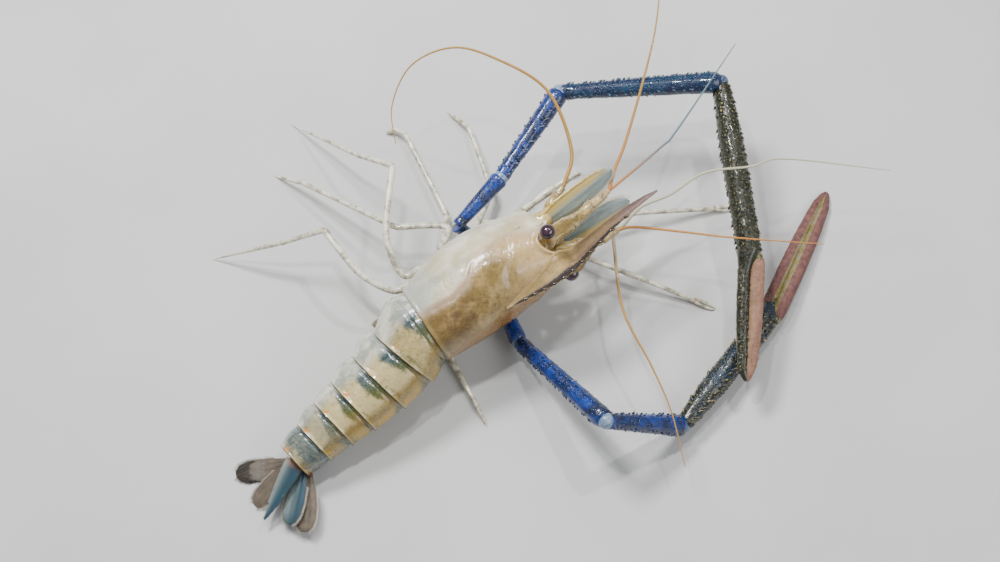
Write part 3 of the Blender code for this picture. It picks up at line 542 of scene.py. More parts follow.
class Finish:
    """A material under construction, with short calls for the nodes it needs."""

    def __init__(self, name, roughness=0.3, coat=0.0, coat_roughness=0.05):
        self.material = bpy.data.materials.new(name)
        self.material.use_nodes = True
        self.tree = self.material.node_tree
        self.shader = self.tree.nodes["Principled BSDF"]
        self.shader.inputs["Roughness"].default_value = roughness
        self.shader.inputs["Coat Weight"].default_value = coat
        self.shader.inputs["Coat Roughness"].default_value = coat_roughness
        self.spot = self.tree.nodes.new("ShaderNodeTexCoord")

    def feed(self, socket, value):
        """Link a socket or set its value."""
        if isinstance(value, bpy.types.NodeSocket):
            self.tree.links.new(value, socket)
        elif socket.type == "RGBA":
            socket.default_value = (*value, 1.0)
        else:
            socket.default_value = value

    def node(self, kind, *values, **named):
        """Node of a kind, fed by place or by name."""
        node = self.tree.nodes.new("ShaderNode" + kind)
        for key, value in (*enumerate(values), *named.items()):
            self.feed(node.inputs[key], value)
        return node

    def shares(self):
        """Shares around and along the piece, from its UV map."""
        return self.node("SeparateXYZ", self.spot.outputs["UV"]).outputs[:2]

    def zone(self, name):
        """Three shares painted on the piece's points."""
        layer = self.node("Attribute")
        layer.attribute_name = name
        return self.node("SeparateColor", layer.outputs["Color"]).outputs

    def sums(self, operation, first, second=0.0, third=0.0):
        node = self.node("Math", first, second, third)
        node.operation = operation
        return node.outputs[0]

    def times(self, first, second):
        return self.sums("MULTIPLY", first, second)

    def plus(self, value, share, base):
        """A share of one value, added to another."""
        return self.sums("MULTIPLY_ADD", value, share, base)

    def span(self, value, low, high, start=0.0, end=1.0):
        """Value carried smoothly from low..high to start..end."""
        node = self.node("MapRange", value, low, high, start, end)
        node.interpolation_type = "SMOOTHSTEP"
        return node.outputs[0]

    def cloud(self, scale, detail=3.0, roughness=0.5, distortion=0.0, stretch=None):
        """Noise in cells per metre, or stretched over the UV map."""
        source = self.spot.outputs["Object"]
        if stretch is not None:
            source = self.node("Mapping", self.spot.outputs["UV"], Scale=stretch).outputs[0]
        return self.node("TexNoise", source, Scale=scale, Detail=detail, Roughness=roughness,
                         Distortion=distortion).outputs["Fac"]

    def patches(self, cloud, *reach):
        """Noise, given as cloud takes it, carried as span does."""
        return self.span(self.cloud(*cloud), *reach)

    def cells(self, scale):
        return self.node("TexVoronoi", self.spot.outputs["Object"], Scale=scale).outputs["Distance"]

    def ramp(self, value, *stops):
        """Colour ramp: stops of place and colour."""
        node = self.node("ValToRGB", value)
        marks = node.color_ramp.elements
        while len(marks) < len(stops):
            marks.new(0.5)
        for mark, (place, colour) in zip(marks, stops):
            mark.position = place
            mark.color = (*colour, 1.0)
        return node.outputs[0]

    def layers(self, base, *coats):
        """Colours over one another: each coat is a share, a colour and perhaps a blend type."""
        for share, colour, *kind in coats:
            node = self.node("Mix", share)
            node.data_type = "RGBA"
            node.blend_type = kind[0] if kind else "MIX"
            self.feed(node.inputs[6], base)
            self.feed(node.inputs[7], colour)
            base = node.outputs[2]
        return base

    def colour(self, base, *coats):
        self.feed(self.shader.inputs["Base Color"], self.layers(base, *coats))

    def rough(self, value):
        self.feed(self.shader.inputs["Roughness"], value)

    def bumps(self, *waves):
        """Bumps on one another, each a height, a distance and a strength. Gives the material."""
        onto = None
        for height, distance, strength in waves:
            node = self.node("Bump", Strength=strength, Distance=distance, Height=height)
            if onto is not None:
                self.feed(node.inputs["Normal"], onto)
            onto = node.outputs[0]
        self.feed(self.shader.inputs["Normal"], onto)
        return self.material

    def translucent(self, weight, reach):
        self.shader.inputs["Subsurface Weight"].default_value = weight
        self.shader.inputs["Subsurface Radius"].default_value = (1.0, 0.6, 0.35)
        self.shader.inputs["Subsurface Scale"].default_value = reach
        return self


def carapace_finish():
    make = Finish("wet_carapace_shell", 0.24, 0.6, 0.12).translucent(0.1, 0.0015)
    around, along = make.shares()
    flank, far, crest = make.zone("regions")
    marble, groove, rim = make.zone("marks")
    broad = make.cloud(75.0, 4.0, 0.6)
    middle = make.cloud(230.0, 5.0, 0.62, 0.6)
    fine = make.cloud(900.0, 4.0, 0.65)
    ahead = make.plus(broad, 0.3, along)
    golden = make.patches((110.0, 3.0, 0.55, 0.4), 0.4, 0.62)
    golden = make.times(golden, make.span(along, 0.85, 0.2))
    head = make.layers(LOOK.head_pink, (make.patches((140.0, 3.0), 0.38, 0.62), LOOK.tan))
    back = make.layers(
        LOOK.ochre,
        (make.span(broad, 0.35, 0.62), LOOK.tan),
        (make.span(ahead, 0.68, 0.92), head),
        (make.times(golden, 0.7), LOOK.golden_brown),
        (make.span(ahead, 0.62, 0.3, 0.0, 0.55), LOOK.golden_brown),
    )
    side = make.layers(
        LOOK.cream,
        (make.span(broad, 0.4, 0.62), LOOK.grey_cream),
        (make.span(along, 0.42, 0.0, 0.0, 0.75), LOOK.blue_grey),
        (make.span(around, 0.9, 1.0, 0.0, 0.5), LOOK.milky),
        (make.patches((60.0, 2.0), 0.42, 0.6, 0.0, 0.5), LOOK.sand),
        (make.span(flank, 1.0, 0.55, 0.0, 0.6), LOOK.groove_pink),
    )
    warped = make.plus(middle, 0.5, make.sums("SUBTRACT", flank, 0.25))
    blot = make.patches((150.0, 6.0, 0.68, 1.4), 0.44, 0.62)
    calm = make.span(flank, 0.0, 1.0, 1.0, 0.18)
    shade = make.patches((420.0, 5.0, 0.66), 0.3, 0.5, 0.3, 0.0)
    make.colour(
        back,
        (make.span(warped, 0.16, 0.84), side),
        (make.times(far, 0.85), LOOK.orange_brown),
        (make.times(make.times(blot, marble), 0.7), LOOK.marbling),
        (make.times(groove, 0.6), LOOK.groove_pink),
        (make.times(rim, 0.2), LOOK.fleck),
        (make.times(make.span(fine, 0.58, 0.72, 0.0, 0.3), calm), LOOK.fleck),
        (make.times(shade, calm), LOOK.olive, "MULTIPLY"),
        (make.span(make.plus(fine, 0.5, crest), 0.45, 0.75), LOOK.dark_line),
    )
    make.rough(make.patches((500.0, 4.0), 0.3, 0.7, 0.12, 0.36))
    return make.bumps(
        (make.cloud(420.0, 4.0, 0.6), 0.0006, 0.34),
        (make.cloud(1900.0, 4.0, 0.6), 0.00015, 0.4),
        (make.cells(1100.0), 0.00012, 0.25),
    )


def rostrum_finish():
    make = Finish("toothed_rostrum_shell", 0.45, 0.05, 0.3)
    along = make.shares()[1]
    crest, shelf, far = make.zone("regions")
    drift = make.plus(make.cloud(160.0, 4.0), 0.2, -0.1)
    ragged = make.plus(make.cloud(900.0, 3.0), 0.5, crest)
    streak = make.cloud(1.0, 4.0, 0.6, 0.0, (14.0, 3.0, 1.0))
    base = make.ramp(
        make.sums("ADD", along, drift),
        (0.0, LOOK.ochre),
        (0.2, LOOK.ochre),
        (0.36, LOOK.tan),
        (0.5, LOOK.rostrum_brown),
        (0.66, LOOK.rostrum_brown),
        (0.8, LOOK.rostrum_tip),
        (1.0, LOOK.rostrum_tip),
    )
    make.colour(
        base,
        (make.span(crest, 0.04, 0.5, 0.0, 0.6), LOOK.rostrum_tip),
        (make.span(streak, 0.45, 0.65, 0.0, 0.5), LOOK.marbling),
        (make.times(shelf, 0.4), LOOK.tan),
        (make.patches((420.0, 5.0, 0.66), 0.3, 0.5, 0.35, 0.0), LOOK.olive, "MULTIPLY"),
        (make.times(far, 0.7), LOOK.orange_brown),
        (make.span(ragged, 0.66, 0.86), LOOK.dark_line),
    )
    worn = make.patches((700.0, 3.0), 0.3, 0.7, 0.36, 0.6)
    make.rough(make.sums("ADD", worn, make.span(ragged, 0.3, 0.6, 0.0, 0.4)))
    return make.bumps(
        (make.cloud(420.0, 4.0, 0.6), 0.0006, 0.4), (make.cloud(1500.0, 4.0), 0.00015, 0.35)
    )


def tooth_finish():
    make = Finish("rostrum_teeth", 0.25, 0.4)
    along = make.shares()[1]
    make.colour(make.ramp(along, (0.0, LOOK.dark_line), (0.8, LOOK.marbling), (1.0, LOOK.tan)))
    return make.bumps((make.cloud(2500.0), 0.00005, 0.3))


def abdomen_finish(index):
    """Ring shell: u runs around it from right to left, v from its front edge to its rear."""
    make = Finish("wet_ring_shell_%d" % (index + 1), 0.26, 0.7).translucent(0.08, 0.0012)
    around, along = make.shares()
    lobe, band, spot = make.zone("regions")
    broad = make.cloud(120.0, 4.0, 0.62)
    middle = make.cloud(330.0, 5.0, 0.65, 0.8)
    fine = make.cloud(1000.0, 4.0, 0.65)
    place = make.sums("ADD", around, make.plus(broad, 0.16, -0.08))
    back = make.ramp(
        place,
        (0.0, LOOK.grey_cream),
        (0.3, LOOK.yellow),
        (0.43, LOOK.yellow),
        (0.5, LOOK.ochre),
        (0.56, LOOK.sand),
        (0.76, LOOK.sand),
        (1.0, LOOK.grey_cream),
    )
    if index == 0:
        back = make.layers(back, (make.span(middle, 0.3, 0.65, 0.1, 0.6), LOOK.ochre))
    stripe = make.ramp(
        place,
        (0.0, LOOK.blue_grey),
        (0.4, LOOK.olive),
        (0.52, LOOK.ochre),
        (0.62, LOOK.olive),
        (0.74, LOOK.slate),
        (0.88, LOOK.blue_grey),
        (1.0, LOOK.grey_cream),
    )
    # The band's olive and slate tones are partly the ring's own colour and partly painted shade
    # under the ring ahead.
    ragged = make.plus(middle, 0.9, make.sums("SUBTRACT", band, 0.45))
    blot = make.times(make.span(broad, 0.5, 0.66), make.span(middle, 0.4, 0.6))
    pale = make.layers(LOOK.milky, (make.span(broad, 0.4, 0.62), LOOK.blue_grey))
    steely = []
    if index > 3:
        steel = make.layers(LOOK.slate, (make.span(middle, 0.3, 0.7, 0.0, 0.45), LOOK.blue_grey))
        reach = make.sums("ADD", along, middle)
        steely.append((make.span(reach, 1.55, 1.15, 0.0, 0.9 if index == 5 else 0.45), steel))
    make.colour(
        back,
        (make.span(ragged, 0.25, 0.75), stripe),
        (make.times(blot, 0.35), LOOK.olive),
        (make.times(lobe, 0.8), pale),
        *steely,
        (make.span(fine, 0.56, 0.7, 0.0, 0.35), LOOK.fleck),
        (make.patches((560.0, 5.0, 0.66), 0.28, 0.5, 0.35, 0.0), LOOK.olive, "MULTIPLY"),
        (spot, LOOK.orange_spot),
        (make.times(make.span(along, 0.93, 0.965), 0.3), LOOK.fleck),
        # Painted shadow line along the ring's rear edge, where it lies over the next ring.
        (make.times(make.span(along, 0.972, 0.99), 0.9), LOOK.dark_line),
    )
    make.rough(make.patches((800.0, 4.0), 0.3, 0.7, 0.1, 0.4))
    return make.bumps(
        (make.cloud(420.0, 4.0, 0.6), 0.0006, 0.3),
        (make.cloud(2000.0, 4.0, 0.65), 0.0002, 0.45),
        (make.cells(1300.0), 0.00015, 0.25),
    )


def simple_shell(name, light, dark, scale=300.0, roughness=0.3, coat=0.4):
    """Mottled shell between two colours."""
    make = Finish(name, roughness, coat)
    make.colour(light, (make.patches((scale, 5.0, 0.6), 0.35, 0.65), dark))
    return make.bumps((make.cloud(scale * 6.0, 4.0), 0.00012, 0.35))


def arm_finish(name, light, dark, grain_tint_and_glint, pale, coat=0.55):
    """Granular arm shell: light and dark patches, pale speckles on the grains and pale joint ends.
    The speckles are partly the grains' own pale tips and partly painted glints; the pale ends are
    partly the joints' paler shell and partly painted glints.
    """
    make = Finish(name, 0.28, coat)
    along = make.shares()[1]
    streak = make.cloud(1.0, 5.0, 0.65, 0.0, (7.0, 16.0, 1.0))
    grain = make.cells(1200.0)
    # Grain centres that take the speckle colour: partly pale granules, partly painted glints.
    lit = make.times(make.span(grain, 0.3, 0.1, 0.0, 0.5), make.patches((500.0,), 0.45, 0.6))
    ends = make.sums("MAXIMUM", make.span(along, 0.05, 0.0), make.span(along, 0.95, 0.99))
    make.colour(
        light,
        (make.patches((110.0, 5.0, 0.62, 0.5), 0.36, 0.62), dark),
        (make.span(streak, 0.42, 0.66, 0.0, 0.6), dark),
        (lit, grain_tint_and_glint),
        # Pale joint ends: partly paler joint shell, partly painted glints at the joints.
        (make.times(ends, make.patches((500.0, 4.0), 0.35, 0.65, 0.0, 0.8)), pale),
    )
    make.rough(make.patches((600.0, 3.0), 0.3, 0.7, 0.16, 0.46))
    return make.bumps(
        (make.span(grain, 0.0, 0.5, 1.0, 0.0), 0.00035, 0.55),
        (make.cloud(2600.0, 3.0), 0.00015, 0.35),
    )


def thorn_finish(name, root, tip, bright=0.55):
    """Thorns whose tips pale toward the tip colour, more so on some than on others. On the arms and
    claws these pale tips are partly the thorns' own colour and partly painted glints.
    """
    make = Finish(name, 0.3, 0.3)
    luck, along = make.shares()
    lucky = make.span(luck, bright - 0.25, bright + 0.2, 0.25, 1.0)
    make.colour(root, (make.times(make.span(along, 0.3, 0.95), lucky), tip))
    return make.bumps((make.cloud(3000.0), 0.00005, 0.3))


def felt_finish(name, light, dark, stripe_share):
    """Velvety finger with a granular, greenish stripe along its biting side."""
    make = Finish(name, 0.85)
    along = make.shares()[1]
    stripe = make.zone("stripe")[0]
    clump = make.cloud(420.0, 5.0, 0.7)
    bare = make.layers(
        LOOK.fleck,
        (make.span(make.cells(1300.0), 0.1, 0.4), LOOK.felt_stripe),
        (make.patches((260.0, 3.0), 0.4, 0.62, 0.0, 0.6), LOOK.leg_grey),
    )
    ragged = make.plus(make.cloud(700.0, 4.0), 0.6, make.sums("SUBTRACT", stripe, 0.3))
    make.colour(
        dark,
        (make.span(clump, 0.35, 0.65), light),
        (make.span(ragged, 0.35, 0.65, 0.0, stripe_share), bare),
        (make.span(along, 0.92, 1.0, 0.0, 0.6), dark),
    )
    make.rough(make.span(clump, 0.3, 0.7, 0.6, 0.95))
    return make.bumps((make.cloud(2600.0, 4.0, 0.8), 0.0004, 0.7))


def stalk_shell_finish():
    """Feeler stalk: translucent yellow shell with brownish wrinkles toward each joint."""
    make = Finish("feeler_stalk_shell", 0.2, 0.8).translucent(0.25, 0.0015)
    along = make.shares()[1]
    wrinkle = make.times(
        make.patches((520.0, 5.0, 0.7, 1.2), 0.47, 0.58), make.span(along, 0.2, 0.95, 0.25, 1.0)
    )
    make.colour(
        LOOK.peduncle,
        (make.patches((330.0, 5.0, 0.65, 0.6), 0.35, 0.62), LOOK.tan),
        (make.patches((170.0, 3.0), 0.48, 0.62, 0.0, 0.3), LOOK.grey_cream),
        (make.times(wrinkle, 0.75), LOOK.marbling),
    )
    return make.bumps(
        (make.cloud(520.0, 4.0, 0.6), 0.0007, 0.5), (make.cloud(1600.0, 4.0), 0.0002, 0.4)
    )


def leg_finish(name):
    """Ivory limb with grey mottling and orange joints."""
    make = Finish(name, 0.28, 0.45).translucent(0.15, 0.001)
    along = make.shares()[1]
    ends = make.sums("MAXIMUM", make.span(along, 0.12, 0.0), make.span(along, 0.9, 1.0))
    make.colour(
        LOOK.ivory,
        (make.patches((220.0, 5.0, 0.65), 0.42, 0.68), LOOK.leg_grey),
        (make.times(ends, 0.6), LOOK.leg_orange),
    )
    make.rough(make.patches((700.0,), 0.3, 0.7, 0.2, 0.4))
    return make.bumps((make.cloud(1500.0, 4.0), 0.0001, 0.35))


WHIP_RINGS = 260.0


def whip_finish(name, light, dark):
    """Feeler whip: banded by its rings, from root colour to tip colour."""
    make = Finish(name, 0.4, 0.2)
    along = make.shares()[1]
    wave = make.sums("SINE", make.times(along, WHIP_RINGS * 6.283))
    make.colour(
        light,
        (make.span(along, 0.0, 0.45), dark),
        (make.span(wave, 0.2, 0.9, 0.0, 0.35), LOOK.dark_line),
    )
    return make.bumps((wave, 0.00008, 0.4))


def blade_finish(name, middle, edge, rib, outer=None, roughness=0.22, coat=0.6, lit=1.0):
    """Thin fin: u runs around it, v from root to tip; outer tints the edge that lit picks. A
    positive lit gives the fin's own outer band; a negative lit spreads outer over one side as
    painted light, that side lighter where the light falls.
    """
    make = Finish(name, roughness, coat).translucent(0.2, 0.001)
    around, along = make.shares()
    streak = make.cloud(1.0, 4.0, 0.6, 0.0, (90.0, 5.0, 1.0))
    coats = [
        (make.patches((260.0, 5.0, 0.65, 0.5), 0.35, 0.65), edge),
        (make.span(streak, 0.45, 0.7, 0.0, 0.5), rib),
        (make.span(along, 0.16, 0.0, 0.0, 0.6), LOOK.orange_spot),
    ]
    # Outer colour: the fin's own outer band when lit is positive, a painted lit side when lit is
    # negative.
    if outer is not None:
        aside = make.sums("COSINE", make.times(around, 2.0 * pi))
        place = make.plus(streak, 0.5, make.times(aside, lit))
        band = make.span(place, *((0.2, 0.75) if lit > 0.0 else (-0.3, 1.2, 0.0, 0.6)))
        coats.append((make.times(band, make.span(along, 1.0, 0.75, 0.2, 1.0)), outer))
    make.colour(middle, *coats)
    return make.bumps((streak, 0.00025, 0.6))


def eye_finish():
    make = Finish("faceted_cornea", 0.12, 1.0, 0.03)
    make.colour(LOOK.eye_dark, (make.patches((350.0, 3.0), 0.35, 0.65), LOOK.eye_plum))
    return make.bumps((make.cells(3800.0), 0.00004, 0.25))


def stalk_finish():
    """Eye stalk: greyish and translucent with an orange collar under the cornea."""
    make = Finish("eye_stalk_shell", 0.22, 0.7).translucent(0.2, 0.001)
    along = make.shares()[1]
    collar = make.times(make.span(along, 0.5, 0.62), make.patches((300.0,), 0.35, 0.55))
    make.colour(
        LOOK.grey_cream,
        (make.patches((400.0, 4.0), 0.4, 0.6), LOOK.tan),
        (collar, LOOK.orange_spot),
        (make.span(along, 0.74, 0.8), LOOK.eye_plum),
    )
    return make.bumps((make.cloud(1500.0, 3.0), 0.0001, 0.3))


def bristle_finish(name, root, tip):
    make = Finish(name, 0.5)
    along = make.shares()[1]
    make.colour(root, (make.span(along, 0.0, 0.8), tip))
    return make.bumps((make.cloud(2000.0), 0.00003, 0.2))


def floor_finish():
    make = Finish("pale_studio_floor", 0.65)
    make.colour(LOOK.floor, (make.patches((9.0, 4.0), 0.3, 0.7), LOOK.floor_shade))
    return make.bumps((make.cloud(400.0, 3.0), 0.0002, 0.08))


# ---------------------------------------------------------------- settings


def colour_property(name, red, green, blue):
    return FloatVectorProperty(
        name=name, description="Colour of the " + name.lower(), subtype="COLOR", size=3,
        min=0.0, max=1.0, default=tint(red, green, blue),
    )


class PrawnColours(PropertyGroup):
    """Colours of the prawn and of its floor."""

    cream: colour_property("Cream cheek", 246, 239, 216)
    milky: colour_property("Milky lower side", 236, 234, 222)
    grey_cream: colour_property("Grey cream side", 206, 199, 172)
    # Also the painted lighter side of the telson and the inner right tail blade.
    blue_grey: colour_property("Blue-grey side", 160, 170, 164)
    tan: colour_property("Tan shell", 200, 172, 122)
    sand: colour_property("Sandy ring side", 204, 188, 142)
    ochre: colour_property("Ochre back", 146, 124, 76)
    golden_brown: colour_property("Golden-brown back", 108, 86, 48)
    yellow: colour_property("Yellow ring back", 190, 154, 62)
    orange_brown: colour_property("Orange-brown far side", 146, 104, 26)
    head_pink: colour_property("Pinkish head", 212, 180, 136)
    groove_pink: colour_property("Pinkish groove line", 198, 166, 142)
    marbling: colour_property("Brown marbling", 96, 74, 52)
    fleck: colour_property("Golden flecks", 222, 200, 140)
    olive: colour_property("Olive band", 88, 92, 50)
    slate: colour_property("Slate blue band", 50, 72, 78)
    # Also the painted shadow line along each abdominal ring's rear edge.
    dark_line: colour_property("Dark seam", 30, 22, 16)
    rostrum_tip: colour_property("Rostrum tip", 112, 88, 82)
    cobalt: colour_property("Cobalt arm", 8, 62, 150)
    navy: colour_property("Navy arm", 6, 26, 62)
    teal: colour_property("Teal upper arm", 14, 56, 84)
    # Pale tips and grain speckles of the arms: partly real, partly painted glints.
    arm_glint: colour_property("Arm thorn tip", 150, 176, 214)
    # Pale arm joint colour, also used for painted glints at the arm articles' ends.
    arm_pale: colour_property("Pale arm joint", 150, 168, 188)
    joint_skin: colour_property("Joint skin", 96, 118, 150)
    claw_black: colour_property("Black-olive claw", 24, 27, 16)
    claw_navy: colour_property("Blue-black claw", 18, 46, 66)
    # Golden tips and grain speckles of the claws: partly real, partly painted glints.
    golden: colour_property("Golden thorn tip", 206, 186, 124)
    felt: colour_property("Pinkish finger felt", 170, 134, 114)
    felt_dark: colour_property("Dark finger felt", 134, 98, 82)
    rostrum_brown: colour_property("Brown rostrum", 134, 110, 76)
    fan_dusk: colour_property("Dusky tail fan", 84, 74, 70)
    plush: colour_property("Purplish finger felt", 138, 98, 90)
    plush_dark: colour_property("Dark purplish felt", 92, 62, 60)
    claw_olive: colour_property("Olive claw", 34, 38, 22)
    felt_stripe: colour_property("Finger stripe", 128, 122, 74)
    ivory: colour_property("Ivory leg", 242, 237, 218)
    leg_grey: colour_property("Grey leg", 150, 146, 128)
    leg_orange: colour_property("Orange leg end", 208, 146, 84)
    whip_tan: colour_property("Tan feeler", 188, 144, 76)
    whip_blue: colour_property("Bluish feeler", 110, 132, 142)
    whip_white: colour_property("Whitish feeler", 208, 204, 178)
    scale_blue: colour_property("Blue-grey antennal scale", 150, 168, 170)
    scale_edge: colour_property("Ochre antennal scale edge", 224, 202, 134)
    peduncle: colour_property("Yellow feeler stalk", 208, 186, 124)
    fan_brown: colour_property("Grey-brown tail fan", 112, 98, 84)
    fan_blue: colour_property("Steel-blue tail fan", 46, 76, 92)
    orange_spot: colour_property("Orange spot", 214, 128, 44)
    eye_dark: colour_property("Dark eye", 34, 16, 26)
    eye_plum: colour_property("Plum eye", 66, 38, 54)
    floor: colour_property("Pale floor", 216, 216, 215)
    floor_shade: colour_property("Floor shade", 208, 208, 207)


class PrawnShell(PropertyGroup):
    """Sizes of the shell plates."""

    thickness: FloatProperty(
        name="Shell thickness", description="Thickness of the shell plates in millimetres",
        default=0.8, min=0.2, max=2.0,
    )
    overlap: FloatProperty(
        name="Ring overlap", description="How far a ring's rear edge lies over the next",
        default=1.5, min=0.0, max=4.0,
    )
    groove: FloatProperty(
        name="Groove depth", description="Depth of the carapace's grooves in millimetres",
        default=0.5, min=0.0, max=2.0,
    )
    columns: IntProperty(
        name="Steps around", description="Steps around a shell plate", default=128, min=16, max=400,
    )


class PrawnLimbs(PropertyGroup):
    """Sizes of the limbs' small parts."""

    thorn_spacing: FloatProperty(
        name="Thorn spacing", description="Distance between thorns along a row, in millimetres",
        default=2.6, min=1.0, max=10.0,
    )
    thorn_rows: IntProperty(
        name="Thorn rows", description="Rows of thorns round an arm", default=13, min=3, max=30,
    )
    felt_tufts: IntProperty(
        name="Felt tufts", description="Tufts of felt on each movable finger", default=5200,
        min=0, max=20000,
    )


class PrawnStage(PropertyGroup):
    """Camera and light."""

    camera_height: FloatProperty(
        name="Camera elevation", description="Angle of the view above the floor",
        default=radians(68.0), subtype="ANGLE", min=0.1, max=1.57,
    )
    camera_distance: FloatProperty(
        name="Camera distance", description="From the camera to the floor in the picture's middle",
        default=0.970, unit="LENGTH", min=0.1, max=5.0,
    )
    key_power: FloatProperty(
        name="Key light", description="Power of the main softbox in watts", default=13.0, min=0.0,
        max=500.0,
    )


# ---------------------------------------------------------------- pieces


def add_undulation(rings, scale, amount):
    """Push points by low noise so that a shell isn't perfectly regular."""
    out = rings.copy()
    rows, columns = rings.shape[:2]
    way = rings - rings.mean(axis=1, keepdims=True)
    way /= np.maximum(np.linalg.norm(way, axis=2, keepdims=True), 1e-9)
    for i in range(rows):
        for j in range(columns):
            out[i, j] += way[i, j] * (noise.noise(Vector(rings[i, j]) * scale) * amount)
    if np.allclose(rings[:, -1], rings[:, 0]):
        out[:, -1] = out[:, 0]
    return out


def paint(*shares):
    """Three shares for each point of a grid."""
    return np.stack([np.clip(share, 0.0, 1.0) for share in np.broadcast_arrays(*shares)], axis=-1)


def softened(table, places):
    """Columns of a table of sizes at many places, with its corners rounded off."""
    fine = np.linspace(table[0][0] - 6.0, table[-1][0] + 8.0, 240)
    bell = np.hanning(23) / np.hanning(23).sum()
    out = []
    for column in row_at(table, fine):
        column = np.convolve(np.pad(column, 11, mode="edge"), bell, "valid")
        out.append(np.interp(places, fine, column))
    return out


def facing(normal, way=Vector((0.0, 0.0, 1.0))):
    """A direction, or its opposite if that points toward way."""
    return normal if normal.dot(way) > 0.0 else -normal


# Where the creamy flank meets the brown back: distance forward and angle from the back.
FLANK_LINE = (
    (0.0, 61.0), (10.0, 56.0), (18.0, 52.0), (28.0, 57.0), (34.0, 72.0), (45.0, 82.0),
    (54.0, 86.0), (61.0, 78.0), (69.0, 72.0),
)
# Each pair of cheek spines: distance forward, angle from the back and height.
CHEEK_SPINES = ((70.5, 80.0, 3.6), (61.0, 92.0, 3.0))
CARAPACE_ROWS = 150
# Size that the carapace's relief, in millimetres, is compared with.
RELIEF_BASE = 20.0


class PRAWN_OT_carapace(Operator):
    """Lay the grooved carapace with its cheek spines"""

    bl_idname = "prawn.carapace"
    bl_label = "Carapace"

    def execute(self, context):
        shell = context.scene.prawn_shell
        depth = shell.groove
        share = np.linspace(0.0, 1.0, CARAPACE_ROWS + 1)[:, None]
        angle = np.linspace(-SHELL_OPEN_ANGLE, SHELL_OPEN_ANGLE, shell.columns + 1)[None, :]
        away = np.abs(angle)
        edge = softened(FRONT_EDGE, away)[0]
        along = share * CARAPACE_LENGTH + smooth(share, 0.7, 1.0) * edge
        top, bottom, half = softened(CARAPACE_SECTIONS, along)
        # Keel, neck groove with its rear lip, gill ridge, cheek groove and the borders.
        bump = 0.8 * ridge(angle, 0.0, 4.0) * smooth(share, 0.35, 0.8)
        neck = 0.6 + 0.14 * smooth(away, 18.0, 84.0)
        start = smooth(away, 14.0, 34.0)
        bump -= depth * ridge(share, neck, 0.026) * start * smooth(away, 96.0, 76.0)
        bump += 0.4 * depth * ridge(share, neck + 0.06, 0.04) * start * smooth(away, 90.0, 70.0)
        line = row_at(FLANK_LINE, along)[0]
        gill = smooth(share, 0.02, 0.1) * smooth(share, 0.52, 0.42)
        bump -= 0.8 * depth * ridge(away, line - 1.0, 2.4) * gill
        bump += 0.5 * depth * ridge(away, line + 5.0, 3.5) * gill
        bump -= 0.7 * depth * ridge(away, 84.0 + 10.0 * share, 2.2) * smooth(share, 0.6, 0.75)
        bump += 0.3 * ridge(share, 0.012, 0.012)
        bump += 0.3 * ridge(away, 131.0, 3.0)
        orbit = smooth(away, 24.0, 36.0) * smooth(away, 76.0, 66.0)
        bump += 0.9 * ridge(share, 0.988, 0.016) * orbit - 0.5 * ridge(share, 0.94, 0.02) * orbit
        bump += 0.6 * ridge(away, 80.0, 4.0) * smooth(share, 0.82, 0.98)
        turn = np.radians(angle)
        grown = 1.0 + bump / RELIEF_BASE
        high = np.cos(turn) * np.where(np.cos(turn) > 0.0, top, bottom) * grown
        wide = np.sin(turn) * half * grown
        rings = (
            np.array(BODY_START)
            + along[..., None] * np.array(FORWARD)
            + high[..., None] * np.array(BACK)
            + wide[..., None] * np.array(LEFT)
        )
        flank = smooth(away - 26.0 * smooth(-angle, 5.0, 22.0), line - 24.0, line + 19.0)
        far = smooth(-angle, 3.0, 16.0) * (1.0 - flank) * smooth(along, -4.0, 14.0)
        crest = ridge(angle, 0.0, 3.4) * smooth(along, 33.0, 44.0)
        marble = (
            ridge(along, 14.0, 11.0) * ridge(angle, 26.0, 22.0)
            + 0.8 * ridge(along, 44.0, 7.0) * ridge(angle, 42.0, 16.0)
            + 0.6 * ridge(along, 30.0, 12.0) * ridge(angle, 12.0, 16.0)
            + 0.12
        ) * (1.0 - flank)
        groove = ridge(away, line + 3.0, 3.0) * gill
        sunk = 0.6 * ridge(share, neck, 0.02) * smooth(away, 20.0, 40.0)
        groove = groove + sunk * smooth(away, 86.0, 70.0)
        rim = ridge(along, 0.6, 1.6) * smooth(angle, 80.0, 40.0)
        zones = {"regions": paint(flank, far, crest), "marks": paint(marble, groove, rim)}
        rings = add_undulation(rings, 0.09, 0.35)
        piece = lay("carapace_shell", rings, carapace_finish(), False, zones)
        apply_modifier(piece, "SOLIDIFY", thickness=-shell.thickness * MM, offset=-1.0)
        spines = []
        for place, turned, height in CHEEK_SPINES:
            top, bottom, half = row_at(CARAPACE_SECTIONS, place)
            rise = cos(radians(turned))
            level = rise * (top if rise > 0.0 else bottom) * 0.98
            for side in (1.0, -1.0):
                foot = body_point(place, level, side * sin(radians(turned)) * half * 0.98)
                spines.append((foot, FORWARD * 0.94 + LEFT * (side * 0.34), height, height * 0.32))
        skin = thorn_finish("cheek_spine_shell", LOOK.grey_cream, LOOK.cream)
        spines = sprout("spines", thorn_shape(10, 0.1), skin, spines, BACK)
        settle("cheek_spines", [spines], "shell")
        settle("carapace_shell", [piece], "shell", "carapace")
        return {"FINISHED"}


CORE_COLUMNS = 64
CORE_STEPS = 8


def core_ring(centre, back, left, size, spare, high_share, wide_share):
    """Closed section inside a shell, flat below where the belly is hollow."""
    top, bottom, half = size
    turn = np.linspace(0.0, 2.0 * pi, CORE_COLUMNS + 1)
    high = np.cos(turn)
    low = np.maximum(high * bottom, -BELLY_HOLLOW * bottom - spare)
    high = np.where(high > 0.0, high * top, low)
    return (
        np.array(centre)
        + (high_share * high)[:, None] * np.array(back)
        + (wide_share * (np.sin(turn) * half))[:, None] * np.array(left)
    )


